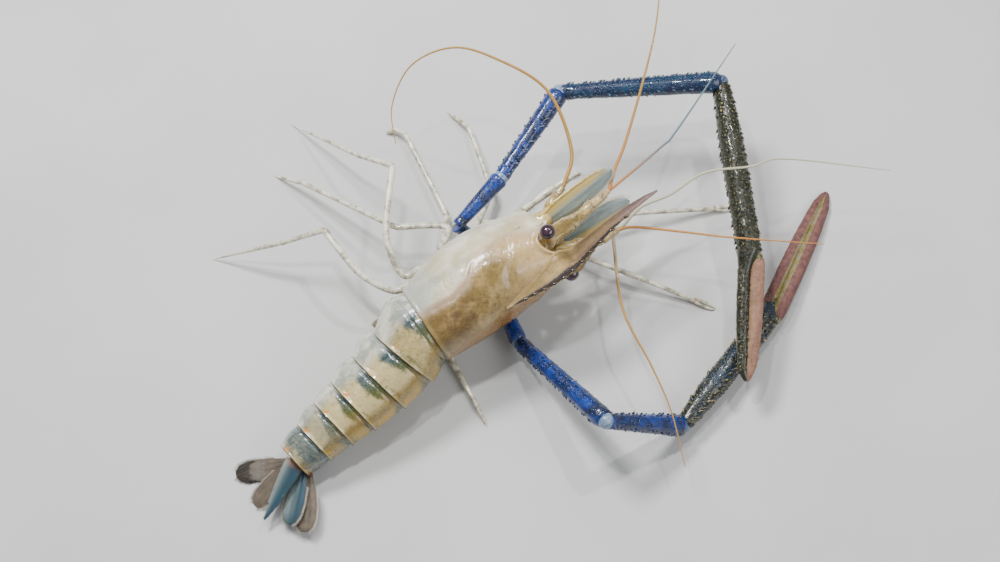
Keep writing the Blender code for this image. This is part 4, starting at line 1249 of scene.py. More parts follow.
class PRAWN_OT_core(Operator):
    """Fill the shells with the pale body inside them"""

    bl_idname = "prawn.core"
    bl_label = "Body inside the shells"

    def execute(self, context):
        chest, tail = [], []
        for along in np.linspace(-2.0, CARAPACE_LENGTH - 3.0, 50):
            size = row_at(CARAPACE_SECTIONS, max(along, 0.0))
            close = 0.94 * min(1.0, max(0.0, (CARAPACE_LENGTH - 2.9 - along) / 7.0)) ** 0.4
            centre = body_point(along, 0.0, 0.0)
            chest.append(core_ring(centre, BACK, LEFT, size, 1.5, close, close))
        for index in range(len(ABDOMEN_RINGS)):
            for step in range(CORE_STEPS):
                centre, _, back, left, size = ring_frame(index, step / CORE_STEPS)
                tail.append(core_ring(centre, back, left, size, 0.4, 0.9, 0.88))
        flesh = simple_shell("pale_underside", LOOK.tan, LOOK.grey_cream, 240.0, 0.35, 0.5)
        for name, rows in (("chest_inside", chest), ("tail_inside", tail)):
            settle(name, [lay(name, capped(np.array(rows)), flesh)], "leg")
        return {"FINISHED"}


# How far each ring's side lobe narrows toward its rounded end, and how far that end lies back.
LOBE_NARROWING = (0.6, 0.5, 0.66, 0.7, 0.7, 0.5)
LOBE_LEAN = 0.08
RING_ROWS = 48
# Share of a ring's length by which it starts ahead of its joint.
RING_LEAD = 0.015
# Angle from the back of the hinge between a ring's arch and its side lobe.
HINGE_ANGLE = 62.0


class PRAWN_OT_abdomen(Operator):
    """Lay the six overlapping rings of the abdomen"""

    bl_idname = "prawn.abdomen"
    bl_label = "Abdominal rings"

    def execute(self, context):
        shell = context.scene.prawn_shell
        angle = np.linspace(-SHELL_OPEN_ANGLE, SHELL_OPEN_ANGLE, shell.columns + 1)
        turn = np.radians(angle)
        away = np.abs(angle)
        side = smooth(away, 58.0, 76.0)
        end = np.clip((away - 80.0) / 54.0, 0.0, 1.0)
        rounded = 1.0 - np.sqrt(np.maximum(1.0 - end ** 3, 0.0))
        for index, ring in enumerate(ABDOMEN_RINGS):
            length, lobe = ring[0], ring[7]
            reach = 1.0 + (shell.overlap / length if index < len(ABDOMEN_RINGS) - 1 else 0.0)
            rings = []
            shares = np.linspace(0.0, 1.0, RING_ROWS + 1)
            for share in shares:
                place = -RING_LEAD + (reach + RING_LEAD) * share
                centre, forward, back, left, size = ring_frame(index, min(place, 1.0))
                if place > 1.0:
                    centre = centre - forward * (length * (place - 1.0))
                top, bottom, half = size
                swell = 0.968 + 0.045 * sin(0.5 * pi * share)
                lift = 0.42 * smooth(share, 0.0, 0.25) + 0.35 * smooth(share, 0.88, 1.0)
                lift -= 0.4 * float(ridge(share, 0.2, 0.035))
                deep = 1.0 + lobe * sin(pi * min(1.0, 0.12 + 0.88 * share)) ** 0.8
                low = np.where(np.cos(turn) > 0.0, top * swell, bottom * deep)
                rounding = 1.0 - 0.07 * side * (2.0 * share - 1.0) ** 4
                slant = (share - 0.5 - LOBE_LEAN) * (LOBE_NARROWING[index] * rounded) * length
                fold = ridge(away, HINGE_ANGLE, 4.0)
                puff = 0.7 * smooth(away, HINGE_ANGLE, 84.0) * sin(pi * share) - 0.35 * fold
                hinge = 0.6 * fold * float(ridge(share, 0.95, 0.05))
                high = np.cos(turn) * low * rounding
                wide = np.sin(turn) * half * swell * (1.0 + 0.02 * side)
                out = np.stack([high, wide], axis=1)
                norm = np.linalg.norm(out, axis=1)[:, None]
                out = out * (1.0 + (lift + hinge + puff)[:, None] / norm)
                rings.append(
                    np.array(centre)
                    + out[:, :1] * np.array(back)
                    + out[:, 1:] * np.array(left)
                    + slant[:, None] * np.array(forward)
                )
            v = shares[:, None]
            lobes = smooth(away, 64.0, 88.0)[None, :] * np.ones_like(v)
            wave = 0.12 * np.sin(turn * 3.0 + index)[None, :]
            # Band strongest at each ring's front, where it comes out from under the ring ahead, and
            # half as strong near its rear; its olive-slate is partly the ring's own colour and
            # partly painted shade.
            band = smooth(v + wave, 0.58, 0.16) + 0.5 * smooth(v + wave, 0.84, 0.95)
            band = band * (1.0 - 0.5 * lobes)
            bright = 0.4 if index < 2 else 1.0
            spot = ridge(away[None, :], 61.0, 5.0) * ridge(v, 0.9, 0.09) * bright
            zones = {"regions": paint(lobes, band, spot)}
            name = "abdomen_ring_%d" % (index + 1)
            rings = add_undulation(np.array(rings), 0.14, 0.25)
            piece = lay(name, rings, abdomen_finish(index), False, zones)
            apply_modifier(piece, "SOLIDIFY", thickness=-0.7 * shell.thickness * MM, offset=-1.0)
            settle(name, [piece], "abdomen", "abdomen_%d" % (index + 1))
        return {"FINISHED"}


# Rostrum: distance forward, height of its lower and of its upper edge.
ROSTRUM_SPANS = (
    (36.0, 21.2, 21.9), (46.0, 20.9, 23.6), (58.0, 20.4, 25.6), (68.0, 19.7, 26.0),
    (75.5, 18.9, 24.8), (80.0, 16.6, 23.2), (88.0, 14.2, 20.6), (100.0, 11.6, 17.0),
    (112.0, 10.2, 14.6), (121.0, 10.6, 13.6), (127.5, 12.2, 12.9),
)
UPPER_TEETH = (46.0, 51.0, 56.0, 61.0, 66.5, 72.0, 78.0, 84.0, 90.5, 98.0, 107.0)
LOWER_TEETH = (84.0, 89.0, 94.0, 99.0, 104.0, 109.0, 114.0, 119.0)
# Half width of the rostrum's side shelf, by place along it.
SHELF_SPANS = (
    (36.0, 0.6), (46.0, 2.0), (56.0, 4.0), (63.0, 6.4), (68.0, 8.4), (72.0, 9.0), (76.0, 8.4),
    (81.0, 7.0), (87.0, 5.6), (94.0, 4.3), (102.0, 3.2), (112.0, 2.1), (121.0, 1.1), (127.6, 0.3),
)
SIDE_STEPS = 12
UNDER_STEPS = 6
CREST_BRISTLES = 420


def rostrum_ring(along, free):
    """Half section of the rostrum: points as across, level, and shares of crest and shelf."""
    low, high = row_at(ROSTRUM_SPANS, along)
    reach = row_at(SHELF_SPANS, along)[0]
    top, _, wide = row_at(CARAPACE_SECTIONS, min(along, CARAPACE_LENGTH))
    seat = top * cos(min(1.5, reach / wide)) + 0.05
    ledge = seat * (1.0 - free) + (low + 0.3 * (high - low)) * free
    low = low - 2.4 * (1.0 - free)
    thick = 0.45 + 0.35 * (1.0 - free)
    side = []
    for step in range(SIDE_STEPS + 1):
        t = step / SIDE_STEPS
        across = 0.12 + 0.5 * t + (reach - 0.62) * t ** 2.2
        level = high + (ledge + 0.35 * thick - high) * (1.0 - (1.0 - t) ** 1.4)
        side.append((across, level, ridge(t, 0.0, 0.34), float(smooth(t, 0.45, 0.9))))
    side.append((reach + 0.1, ledge, 0.0, 1.0))
    for step in range(1, UNDER_STEPS + 1):
        t = step / UNDER_STEPS
        across = reach * (1.0 - t) ** 1.8 + 0.25 * (1.0 - t)
        level = ledge - thick * 0.6 + (low - ledge + thick * 0.6) * t ** 1.3
        side.append((across, level, 0.25 * t, 0.0))
    peak = (0.0, high, 1.0, 0.0)
    mirrored = [(-across, *rest) for across, *rest in reversed(side[:-1])]
    return [peak, *side, *mirrored, peak]


class PRAWN_OT_rostrum(Operator):
    """Build the keeled rostrum, its side shelves and its two rows of teeth"""

    bl_idname = "prawn.rostrum"
    bl_label = "Rostrum"

    def execute(self, context):
        rings, zones = [], []
        for along in np.linspace(36.0, 127.4, 120):
            free = float(smooth(along, 68.0, 78.0))
            ring = rostrum_ring(along, free)
            rings.append([tuple(body_point(along, level, across)) for across, level, *_ in ring])
            start = float(smooth(along, 36.0, 44.0))
            fade = 1.0 - 0.75 * float(smooth(along, 96.0, 112.0))
            zones.append([
                (crest * start * fade, shelf * (1.0 - free), float(across < -0.3) * (1.0 - free))
                for across, level, crest, shelf in ring
            ])
        zones = np.clip(np.array([zones[0], *zones, zones[-1]]), 0.0, 1.0)
        parts = [lay("blade", capped(np.array(rings)), rostrum_finish(), True, {"regions": zones})]
        teeth = []
        for edge, places, lean, height in ((1, UPPER_TEETH, 0.5, 2.7), (0, LOWER_TEETH, -0.7, 2.0)):
            for along in places:
                foot = body_point(along, row_at(ROSTRUM_SPANS, along)[edge] - lean * 1.1, 0.0)
                teeth.append((foot, FORWARD + BACK * lean, height * 1.15, 0.3 * height))
        parts.append(sprout("teeth", thorn_shape(12, 0.12), tooth_finish(), teeth, FORWARD))
        draw = random.Random("crest")
        hairs = []
        for i in range(CREST_BRISTLES):
            upper = i % 3 != 0
            along = draw.uniform(46.0, 112.0) if upper else draw.uniform(82.0, 120.0)
            edge = row_at(ROSTRUM_SPANS, along)[1 if upper else 0]
            foot = body_point(along, edge, draw.uniform(-0.15, 0.15))
            rise = (1.0 if upper else -1.0) * draw.uniform(0.5, 1.3)
            way = FORWARD + BACK * rise + LEFT * draw.uniform(-0.3, 0.3)
            hairs.append((foot, way, draw.uniform(0.7, 1.5), 0.06))
        bristles = bristle_finish("crest_bristles", LOOK.marbling, LOOK.fleck)
        parts.append(sprout("hair", thorn_shape(3, 0.05), bristles, hairs, FORWARD))
        settle("rostrum_piece", parts, "shell", "rostrum")
        return {"FINISHED"}


STERNUM_GROOVES = (10.5, 21.0, 34.0, 45.5, 55.0)
STERNUM_STEPS = 6


class PRAWN_OT_sternum(Operator):
    """Lay the grooved breast plate between the legs"""

    bl_idname = "prawn.sternum"
    bl_label = "Breast plate"

    def execute(self, context):
        rings = []
        for along in np.linspace(2.0, 64.0, 63):
            corners = sternum_ring(along)
            middle = sum(corners, Vector()) / 6.0
            groove = 1.0 - 0.08 * sum(float(ridge(along, place, 0.9)) for place in STERNUM_GROOVES)
            ring = []
            for start, end in zip(corners, corners[1:] + corners[:1]):
                for step in range(STERNUM_STEPS):
                    point = start.lerp(end, step / STERNUM_STEPS)
                    ring.append(tuple(middle + (point - middle) * groove))
            rings.append([*ring, ring[0]])
        shell = simple_shell("breast_plate_shell", LOOK.ivory, LOOK.leg_grey, 260.0)
        piece = lay("breast_plate", capped(np.array(rings)), shell)
        apply_modifier(piece, "SMOOTH", factor=0.5, iterations=3)
        settle("breast_plate", [piece], "leg", "sternum")
        return {"FINISHED"}


EYE_RADIUS = 3.8
# Radius of an eye stalk by share of its length.
EYE_STALK = ((0.0, 1.6), (0.3, 2.0), (0.6, 2.2), (0.8, 2.9), (1.0, 2.4))


class PRAWN_OT_eyes(Operator):
    """Set the stalked eyes in their orbits"""

    bl_idname = "prawn.eyes"
    bl_label = "Eyes"

    def execute(self, context):
        cornea = eye_finish()
        stalk_shell = stalk_finish()
        for side, name in ((1, "left"), (-1, "right")):
            root = body_point(FACE, 9.5, side * 5.5)
            bend = body_point(CARAPACE_LENGTH - 1.2, 9.8, side * 8.5)
            ball = body_point(CARAPACE_LENGTH - 0.7, 10.5, side * 16.4)
            path = eased([root - FORWARD * 0.5, bend, bend.lerp(ball, 0.55), ball], 6)
            radii = girth(EYE_STALK, np.linspace(0.0, 1.0, len(path)))
            stalk = lay("stalk", capped(tube_rings(path, radii, 24)), stalk_shell)
            deselect()
            bpy.ops.mesh.primitive_uv_sphere_add(segments=40, ring_count=24, radius=EYE_RADIUS * MM)
            globe = bpy.context.object
            turn = (ball - bend).normalized().to_track_quat("Z", "Y").to_matrix().to_4x4()
            flatter = Matrix.Diagonal((1.0, 1.0, 0.94, 1.0))
            globe.data.transform(Matrix.Translation((ball + SHIFT) * MM) @ turn @ flatter)
            bpy.ops.object.shade_smooth()
            settle("eye_piece_" + name, [dress(globe, cornea), stalk], "eye", "eye_" + name)
        return {"FINISHED"}


# Antennal scale: distance along it, half width on its outer side and on its inner side, thickness.
SCALE_SPANS = (
    (-0.4, 1.9, 1.9, 1.1),
    (3.0, 2.6, 2.6, 1.1),
    (6.0, 4.0, 4.2, 1.0),
    (16.0, 5.6, 6.2, 0.8),
    (28.0, 5.6, 6.4, 0.7),
    (38.0, 4.6, 5.8, 0.6),
    (43.0, 3.4, 4.6, 0.5),
    (46.2, 1.6, 3.0, 0.4),
    (47.6, 0.2, 0.8, 0.3),
)
# Blade of the tail fan, telson and swimmeret in the same way; the last one by share of length.
FAN_SPANS = (
    (-0.4, 1.8, 1.8, 1.2),
    (5.0, 2.9, 2.9, 1.1),
    (12.0, 4.6, 4.6, 1.0),
    (20.0, 5.5, 5.5, 0.85),
    (27.0, 5.2, 5.2, 0.7),
    (31.0, 3.7, 3.7, 0.6),
    (33.0, 1.5, 1.5, 0.45),
)
TELSON_SPANS = (
    (-0.4, 5.2, 5.2, 3.6),
    (6.0, 5.1, 5.1, 3.1),
    (14.0, 4.1, 4.1, 2.3),
    (22.0, 2.9, 2.9, 1.5),
    (29.0, 1.1, 1.1, 0.9),
    (31.0, 0.3, 0.3, 0.5),
)
PLEOPOD_SPANS = (
    (0.0, 0.45, 0.45, 1.0),
    (0.2, 0.8, 0.8, 0.9),
    (0.55, 1.0, 1.0, 0.8),
    (0.85, 0.7, 0.7, 0.7),
    (1.0, 0.25, 0.25, 0.5),
)



def fin_rings(root, along, across, normal, spans, ribs=3, rows=46, columns=40, rib_depth=0.12):
    """Rings of a thin ribbed fin: upper face out and lower face back."""
    start, length = spans[0][0], spans[-1][0]
    turn = np.linspace(0.0, 2.0 * pi, columns + 1)
    side, level = np.cos(turn), np.sin(turn)
    edge = np.sign(level) * np.abs(level) ** 0.6 * (0.35 + 0.65 * (1.0 - np.abs(side) ** 2))
    ridges = rib_depth * np.cos(side * pi * (ribs + 0.5)) * (level > 0.0)
    rings = []
    for i in range(rows + 1):
        place = start + (length - start) * i / rows
        plus, minus, thick = row_at(spans, place)
        wide = np.where(side > 0.0, side * plus, side * minus)
        arch = 0.35 * (1.0 - side ** 2) * thick
        rise = edge * 0.5 * thick + arch + ridges * min(1.0, 4.0 * (1.0 - i / rows))
        rings.append(
            np.array(root + along * place)
            + wide[:, None] * np.array(across)
            + rise[:, None] * np.array(normal)
        )
    return capped(np.array(rings))


def fringe(finish, root, along, across, spans, sides, low, count, length, seed):
    """Fine bristles along a fin's edge, pointing outward and toward its tip."""
    draw = random.Random(seed)
    reach = spans[-1][0]
    stems = []
    for side in sides:
        column = 0 if side > 0 else 1
        for i in range(count):
            place = low + (reach - low) * (i + draw.uniform(0.0, 0.8)) / count
            edge = side * row_at(spans, place)[column]
            slope = (row_at(spans, place + 0.5)[column] - abs(edge)) / 0.5
            outward = (across * side - along * slope).normalized()
            foot = root + along * place + across * edge * 0.97
            way = outward * 0.75 + along * (0.6 + draw.uniform(-0.1, 0.1))
            stems.append((foot, way, length * draw.uniform(0.75, 1.1), 0.11))
    return sprout("hair", thorn_shape(3, 0.08), finish, stems, along)


SIDES = ((1, "left"), (-1, "right"))
SCALE_TILT = radians(16.0)
# How far the right scale is turned the other way, as a share of the tilt.
RIGHT_SCALE_TURN = 1.5
RIM_STEPS = 30
# Stout first article of the antenna: share of its length and of its radius.
BASAL = (
    (-0.05, 0.0), (-0.04, 0.7), (0.0, 0.92), (0.2, 1.04), (0.5, 1.06), (0.75, 1.0), (0.9, 0.86),
    (0.97, 0.62), (1.0, 0.3), (1.01, 0.0),
)


class PRAWN_OT_scales(Operator):
    """Shape the two antennal scales and their fringes"""

    bl_idname = "prawn.scales"
    bl_label = "Antennal scales"

    def execute(self, context):
        blade = blade_finish(
            "antennal_scale_shell", LOOK.scale_blue, LOOK.blue_grey, LOOK.slate, LOOK.scale_edge
        )
        rim = simple_shell("antennal_scale_rim", LOOK.scale_edge, LOOK.yellow, 400.0, 0.25, 0.6)
        bristles = bristle_finish("scale_bristles", LOOK.milky, LOOK.tan)
        base_shell = simple_shell("antenna_base_shell", LOOK.tan, LOOK.peduncle, 260.0, 0.25, 0.6)
        for side, name in SIDES:
            root = body_point(FACE, -3.2, side * 8.6)
            along = body_point(120.0, -6.0 if side > 0 else -3.0, side * 11.5) - root
            along = along.normalized()
            tilt = SCALE_TILT if side > 0 else -RIGHT_SCALE_TURN * SCALE_TILT
            across = LEFT * cos(tilt) - BACK * (side * sin(tilt))
            across = (across - along * across.dot(along)).normalized() * side
            normal = facing(along.cross(across).normalized())
            path, radii = [], []
            for i in range(RIM_STEPS + 1):
                place = 1.0 + 42.5 * i / RIM_STEPS
                edge = across * (row_at(SCALE_SPANS, place)[0] * 0.97)
                path.append(root + along * place + edge + normal * 0.25)
                radii.append(0.95 - 0.6 * i / RIM_STEPS)
            path.append(path[-1] + along * 1.8)
            radii.append(0.05)
            knuckle = body_point(FACE - 1.0, -4.6, side * 8.8)
            ahead = body_point(FACE + 10.5, -4.8, side * 9.8)
            lump = add_undulation(article_rings(knuckle, ahead, 4.6, 4.3, 32, BASAL, 0.9), 0.3, 0.4)
            foot = ahead - FORWARD * 1.6 + LEFT * (side * 3.4) - BACK * 0.6
            spike = (foot, FORWARD * 0.9 + LEFT * (side * 0.3), 3.4, 0.9)
            parts = [
                lay("leaf", fin_rings(root, along, across, normal, SCALE_SPANS), blade),
                lay("edge", tube_rings(path, radii, 10), rim),
                fringe(bristles, root, along, across, SCALE_SPANS, (-1,), 12.0, 150, 2.6, side),
                lay("base", lump, base_shell),
                sprout("spine", thorn_shape(10, 0.05), rim, [spike], FORWARD),
            ]
            settle("antennal_scale_piece_" + name, parts, "scale", "antennal_scale_" + name)
        return {"FINISHED"}


# Each feeler: its stalk's points as along, high, left and radius, the spans of its whip, the
# whip's radius where it starts and the spans of its second whip.
FEELERS = (
    (
        "antennule_left",
        ((0.0, 3.6, 3.4, 2.2), (3.0, 3.6, 3.4, 2.2), (16.7, 2.2, 3.6, 2.4), (29.7, -0.5, 3.6, 2.0),
         (37.7, -2.0, 3.2, 1.7), (40.7, -2.4, 3.2, 1.0)),
        ((11.3, 74, 15), (12.9, 67, 18), (30.8, 73, 15), (26.4, 76, 9), (22.6, 82, 0),
         (15.5, 86, -7)),
        0.9,
        ((36.5, 41, 3.5), (12.4, 47, 7), (55.9, 57, 1.5)),
    ),
    (
        "antennule_right",
        ((0.0, 3.6, -3.4, 2.2), (3.0, 3.6, -3.4, 2.2), (14.0, 7.0, -6.5, 2.4),
         (25.0, 9.4, -9.6, 2.0), (33.0, 8.8, -11.0, 1.7), (36.0, 8.4, -11.6, 1.0)),
        ((13.8, 43, 21), (15.7, 21, 11), (19.6, 32, 6), (22.5, 8, 1), (17.7, 16, -5),
         (53.2, -2, -10)),
        0.9,
        ((9.3, 9, 9), (24.1, -8, 4), (22.5, -8, 2), (46.5, 0, -10)),
    ),
    (
        "antenna_left",
        ((0.0, -7.6, 6.8, 1.9), (6.5, -7.6, 6.8, 1.9), (13.7, -10.2, 9.0, 2.6),
         (19.7, -12.0, 11.5, 2.0), (23.7, -12.5, 12.5, 1.2)),
        ((19.0, 78, 12), (31.0, 114, 20), (30.0, 151, 12), (22.0, 161, -8), (22.0, -164, -21),
         (22.0, -121, -33), (19.0, -84, -19)),
        1.0,
        (),
    ),
    (
        "antenna_right",
        ((0.0, -7.6, -6.8, 1.9), (6.5, -7.6, -6.8, 1.9), (13.7, -10.2, -9.0, 2.6),
         (19.7, -12.0, -11.5, 2.0), (23.7, -12.5, -12.5, 1.2)),
        ((8.0, 10, -1), (8.0, -35, 0), (43.0, -84, 0), (32.2, -66, -2), (23.8, -68, -5),
         (27.3, -76, -14)),
        1.0,
        (),
    ),
)
WHIP_TIP = 0.22
BEAD_STEP = 0.55
# How much longer, broader and thicker the base plate below is, by side.
BASE_GROWTH = {1: (1.3, 1.35, 1.15), -1: (0.8, 0.75, 0.8)}
# Shape of a feeler stalk's article, and of the broad plate at the base of the upper feelers.
STALK_ARTICLE = (
    (-0.03, 0.0), (-0.025, 0.5), (0.0, 0.86), (0.06, 0.98), (0.2, 0.96), (0.45, 0.9), (0.7, 0.95),
    (0.86, 1.04), (0.95, 1.02), (1.0, 0.86), (1.02, 0.5), (1.025, 0.0),
)
BASE_SPANS = (
    (-0.4, 1.2, 1.2, 1.6), (2.0, 3.6, 2.6, 2.2), (6.0, 5.4, 3.4, 2.6), (10.0, 5.3, 3.4, 2.8),
    (14.0, 4.0, 3.2, 2.6), (17.5, 2.4, 2.6, 2.2), (19.5, 0.8, 1.2, 1.6), (20.2, 0.1, 0.2, 0.6),
)



def whip_rings(path, thick):
    """Rings of a whip with a bead every few tenths of a millimetre."""
    path = [Vector(point) for point in path]
    flat = plain(path)
    lengths = np.cumsum([0.0] + [(b - a).length for a, b in zip(path, path[1:])])
    rows = int(lengths[-1] / BEAD_STEP) * 2
    places = np.linspace(0.0, lengths[-1], rows + 1)
    points = np.stack([np.interp(places, lengths, flat[:, i]) for i in range(3)], axis=1)
    share = places / lengths[-1]
    beads = 1.0 + 0.07 * np.where(np.arange(rows + 1) % 2, 1.0, -1.0)
    radii = (thick + (WHIP_TIP - thick) * share) * beads
    radii[0] *= 0.5
    radii[-1] = 0.02
    return tube_rings([Vector(point) for point in points], radii, 8)


def base_rings(side, joint):
    """Rings of the broad plate at the base of an upper feeler, toward its first joint."""
    root = body_point(FACE + 0.6, 3.0, side * 5.6)
    ahead = (joint + LEFT * (side * 1.4) - root).normalized()
    across = (LEFT * side * 0.97 + BACK * 0.24).normalized()
    across = (across - ahead * across.dot(ahead)).normalized()
    normal = facing(ahead.cross(across), BACK)
    grow, broad, deep = BASE_GROWTH[side]
    spans = tuple((a * grow, b * broad, c * broad, d * deep) for a, b, c, d in BASE_SPANS)
    return fin_rings(root, ahead, across, normal, spans, 2, 40, 40, 0.2)


class PRAWN_OT_feelers(Operator):
    """Build the stalks and the beaded whips of the feelers"""

    bl_idname = "prawn.feelers"
    bl_label = "Feelers"

    def execute(self, context):
        shell = stalk_shell_finish()
        bristles = bristle_finish("stalk_bristles", LOOK.tan, LOOK.milky)
        # Root, tip and second tip of each feeler's whips.
        tones = {
            "antennule_left": (LOOK.leg_orange, LOOK.whip_tan, LOOK.whip_blue),
            "antennule_right": (LOOK.whip_white, LOOK.whip_white, LOOK.leg_orange),
            "antenna_left": (LOOK.whip_tan, LOOK.whip_tan, LOOK.whip_tan),
            "antenna_right": (LOOK.whip_white, LOOK.whip_tan, LOOK.whip_tan),
        }
        for name, stalk, spans, thick, branch in FEELERS:
            upper = name.startswith("antennule")
            stout = 1.42 if upper else 1.25
            lead = [
                (body_point(FACE + place, high, left), radius * (stout if i < 4 else 1.1))
                for i, (place, high, left, radius) in enumerate(stalk)
            ]
            parts = []
            for (start, first), (end, last) in zip(lead, lead[1:-1]):
                rings = article_rings(start, end, first, last, 28, STALK_ARTICLE, 0.86)
                parts.append(lay("article", add_undulation(rings, 0.3, 0.45), shell))
            if upper:
                rings = base_rings(1 if name.endswith("left") else -1, lead[2][0])
                parts.append(lay("base", add_undulation(rings, 0.4, 0.4), shell))
            (knuckle, thin), (tip, thinner) = lead[-2:]
            parts.append(lay("cup", article_rings(knuckle, tip, thin, thinner), shell))
            draw = random.Random(name)
            hairs = []
            for (start, first), (end, last) in zip(lead[1:], lead[2:-1]):
                hairs += hairs_round(
                    draw, 60, start, end, lambda place: 0.92 * (first + (last - first) * place),
                    (0.72, 1.0), 0.4, (1.2, 2.4), 0.09,
                )
            parts.append(sprout("hair", thorn_shape(3, 0.05), bristles, hairs, FORWARD))
            root_tone, tip_tone, fork_tone = tones[name]
            shade = whip_finish(name + "_whip", root_tone, tip_tone)
            parts.append(lay("whip", whip_rings(eased(chain(tip, spans), 14), thick), shade))
            if branch:
                shade = whip_finish(name + "_fork", LOOK.leg_orange, fork_tone)
                parts.append(lay("fork", whip_rings(eased(chain(knuckle, branch), 14), 0.8), shade))
            settle(name + "_piece", parts, "feeler", name)
        return {"FINISHED"}


MAXILLIPED_RADII = (1.8, 1.9, 2.2, 1.9, 1.3, 0.5)
MAXILLIPED_BRISTLES = 90


class PRAWN_OT_mouthparts(Operator):
    """Build the bristly maxillipeds"""

    bl_idname = "prawn.mouthparts"
    bl_label = "Maxillipeds"

    def execute(self, context):
        shell = leg_finish("maxilliped_shell")
        bristles = bristle_finish("mouth_bristles", LOOK.tan, LOOK.milky)
        for side, name in SIDES:
            root, outward = leg_root(59.0, side)
            joints = [
                root,
                root + outward * 2.5,
                body_point(70.0, -20.0, side * 7.5),
                body_point(87.0, -21.5, side * 6.8),
                body_point(99.0, -21.0, side * 6.8),
                body_point(103.0, -20.5, side * 6.8),
            ]
            spans = list(zip(joints, joints[1:], MAXILLIPED_RADII, MAXILLIPED_RADII[1:]))
            parts = [lay("article", article_rings(*span), shell) for span in spans]
            draw = random.Random(name)
            inner = (LEFT * -side - BACK * 0.2).normalized()
            hairs = []
            for a, b, p, q in spans[2:]:
                along = (b - a).normalized()
                for _ in range(MAXILLIPED_BRISTLES):
                    place = draw.uniform(0.0, 1.0)
                    out = (inner + BACK * draw.uniform(-0.9, 0.9)).normalized()
                    foot = a.lerp(b, place) + out * 0.85 * (p + (q - p) * place)
                    way = out + along * draw.uniform(0.3, 0.9)
                    hairs.append((foot, way, draw.uniform(1.4, 2.8), 0.09))
            parts.append(sprout("hair", thorn_shape(3, 0.1), bristles, hairs, FORWARD))
            settle("maxilliped_piece_" + name, parts, "leg", "maxilliped_" + name)
        return {"FINISHED"}


# Each pincered leg: place of its root along the body, side and spans.
FIRST_LEGS = (
    (
        "leg_1_left", 50.0, 1,
        ((25.0, 23, -35), (26.7, 8, -19), (36.1, 10, -6), (38.0, 8, -11), (11.0, 8, -11)),
    ),
    (
        "leg_1_right", 50.0, -1,
        ((32.3, 6, -16), (39.9, -21, -4), (31.5, -20, -10), (11.0, -20, -10)),
    ),
)
# Each walking leg: place of its root, side, length out from the root, upper and lower spans.
LEGS = (
    (
        "leg_3_left", 27.0, 1, 4.0,
        ((13.0, 77, -7), (25.5, 178, -4)),
        ((60.6, 146, -18), (21.6, 152, -29)),
    ),
    (
        "leg_4_left", 15.0, 1, 4.0,
        ((9.9, -161, -15), (15.4, 121, 23), (13.9, 95, 12), (28.6, 85, 2)),
        ((23.8, 150, -25), (55.5, 140, -30)),
    ),
    (
        "leg_5_left", 6.0, 1, 3.5,
        ((9.2, -163, -7), (16.8, 156, 14), (18.3, 131, 6), (11.6, 125, -5)),
        ((24.7, -174, -26), (42.7, -180, -30)),
    ),
    (
        "leg_3_right", 27.0, -1, 4.0,
        ((51.3, 70, -6),),
        ((38.9, 108, -4), (17.1, 135, -19)),
    ),
    (
        "leg_4_right", 15.0, -1, 4.0,
        ((42.4, 84, -7),),
        ((51.5, 115, -3), (7.6, 143, -15), (6.0, -167, -35)),
    ),
    (
        "leg_5_right", 6.0, -1, 4.0,
        ((8.0, -60, -72), (29.0, -61, -8)),
        ((25.0, -62, -1), (10.9, -63, -10)),
    ),
)
LEG_ROOT_RADIUS = 2.1
LEG_KNEE_RADIUS = 1.75
LEG_TIP_RADIUS = 0.3
# Shape of a slender leg article.
SHANK = (
    (-0.01, 0.0), (-0.008, 0.5), (0.0, 0.82), (0.015, 0.97), (0.05, 0.98), (0.15, 0.92),
    (0.4, 0.88), (0.7, 0.9), (0.9, 0.97), (0.96, 1.03), (0.985, 1.0), (1.0, 0.8), (1.006, 0.45),
    (1.008, 0.0),
)
# Shape of a leg's last, clawed article.
DACTYL = (
    (-0.02, 0.0), (-0.01, 0.6), (0.0, 0.85), (0.1, 1.0), (0.4, 0.8), (0.75, 0.5), (0.93, 0.25),
    (1.0, 0.04),
)



def bent_rings(points, radii, columns, shape=SHANK, deep=0.9):
    """Rings of one article whose middle line curves through points, shaped like an article."""
    path = plain(eased([Vector(point) for point in points], 12))
    lengths = np.concatenate([[0.0], np.cumsum(np.linalg.norm(np.diff(path, axis=0), axis=1))])
    total = lengths[-1]
    keys = [key for key, size in shape]
    places = np.unique(np.concatenate([keys, np.linspace(0.02, 0.98, 26)]))
    held = np.clip(places, 0.0, 1.0) * total
    spots = np.stack([np.interp(held, lengths, path[:, i]) for i in range(3)], axis=1)
    first, last = path[1] - path[0], path[-1] - path[-2]
    first, last = first / np.linalg.norm(first), last / np.linalg.norm(last)
    spots += first * (np.minimum(places, 0.0) * total)[:, None]
    spots += last * (np.maximum(places - 1.0, 0.0) * total)[:, None]
    wide = girth(shape, places) * np.interp(places, (0.0, 1.0), radii)
    return tube_rings([Vector(spot) for spot in spots], wide, columns, deep)


def limb_parts(joints, radii, finish):
    """Articles between joints, the last one a claw if it tapers."""
    parts = []
    last = len(joints) - 2
    for i, (start, end) in enumerate(zip(joints, joints[1:])):
        shape = DACTYL if i == last and radii[i + 1] < 0.7 else SHANK
        first, final = radii[i] * 0.9, max(radii[i + 1], 0.8 * radii[i]) * 0.9
        parts.append(lay("article", article_rings(start, end, first, final, 18, shape), finish))
    return parts


# Radius of a pincer's finger by share of its length; the first one comes from its finger.
PINCER = ((0.6, 0.7), (0.93, 0.4), (1.0, 0.03))


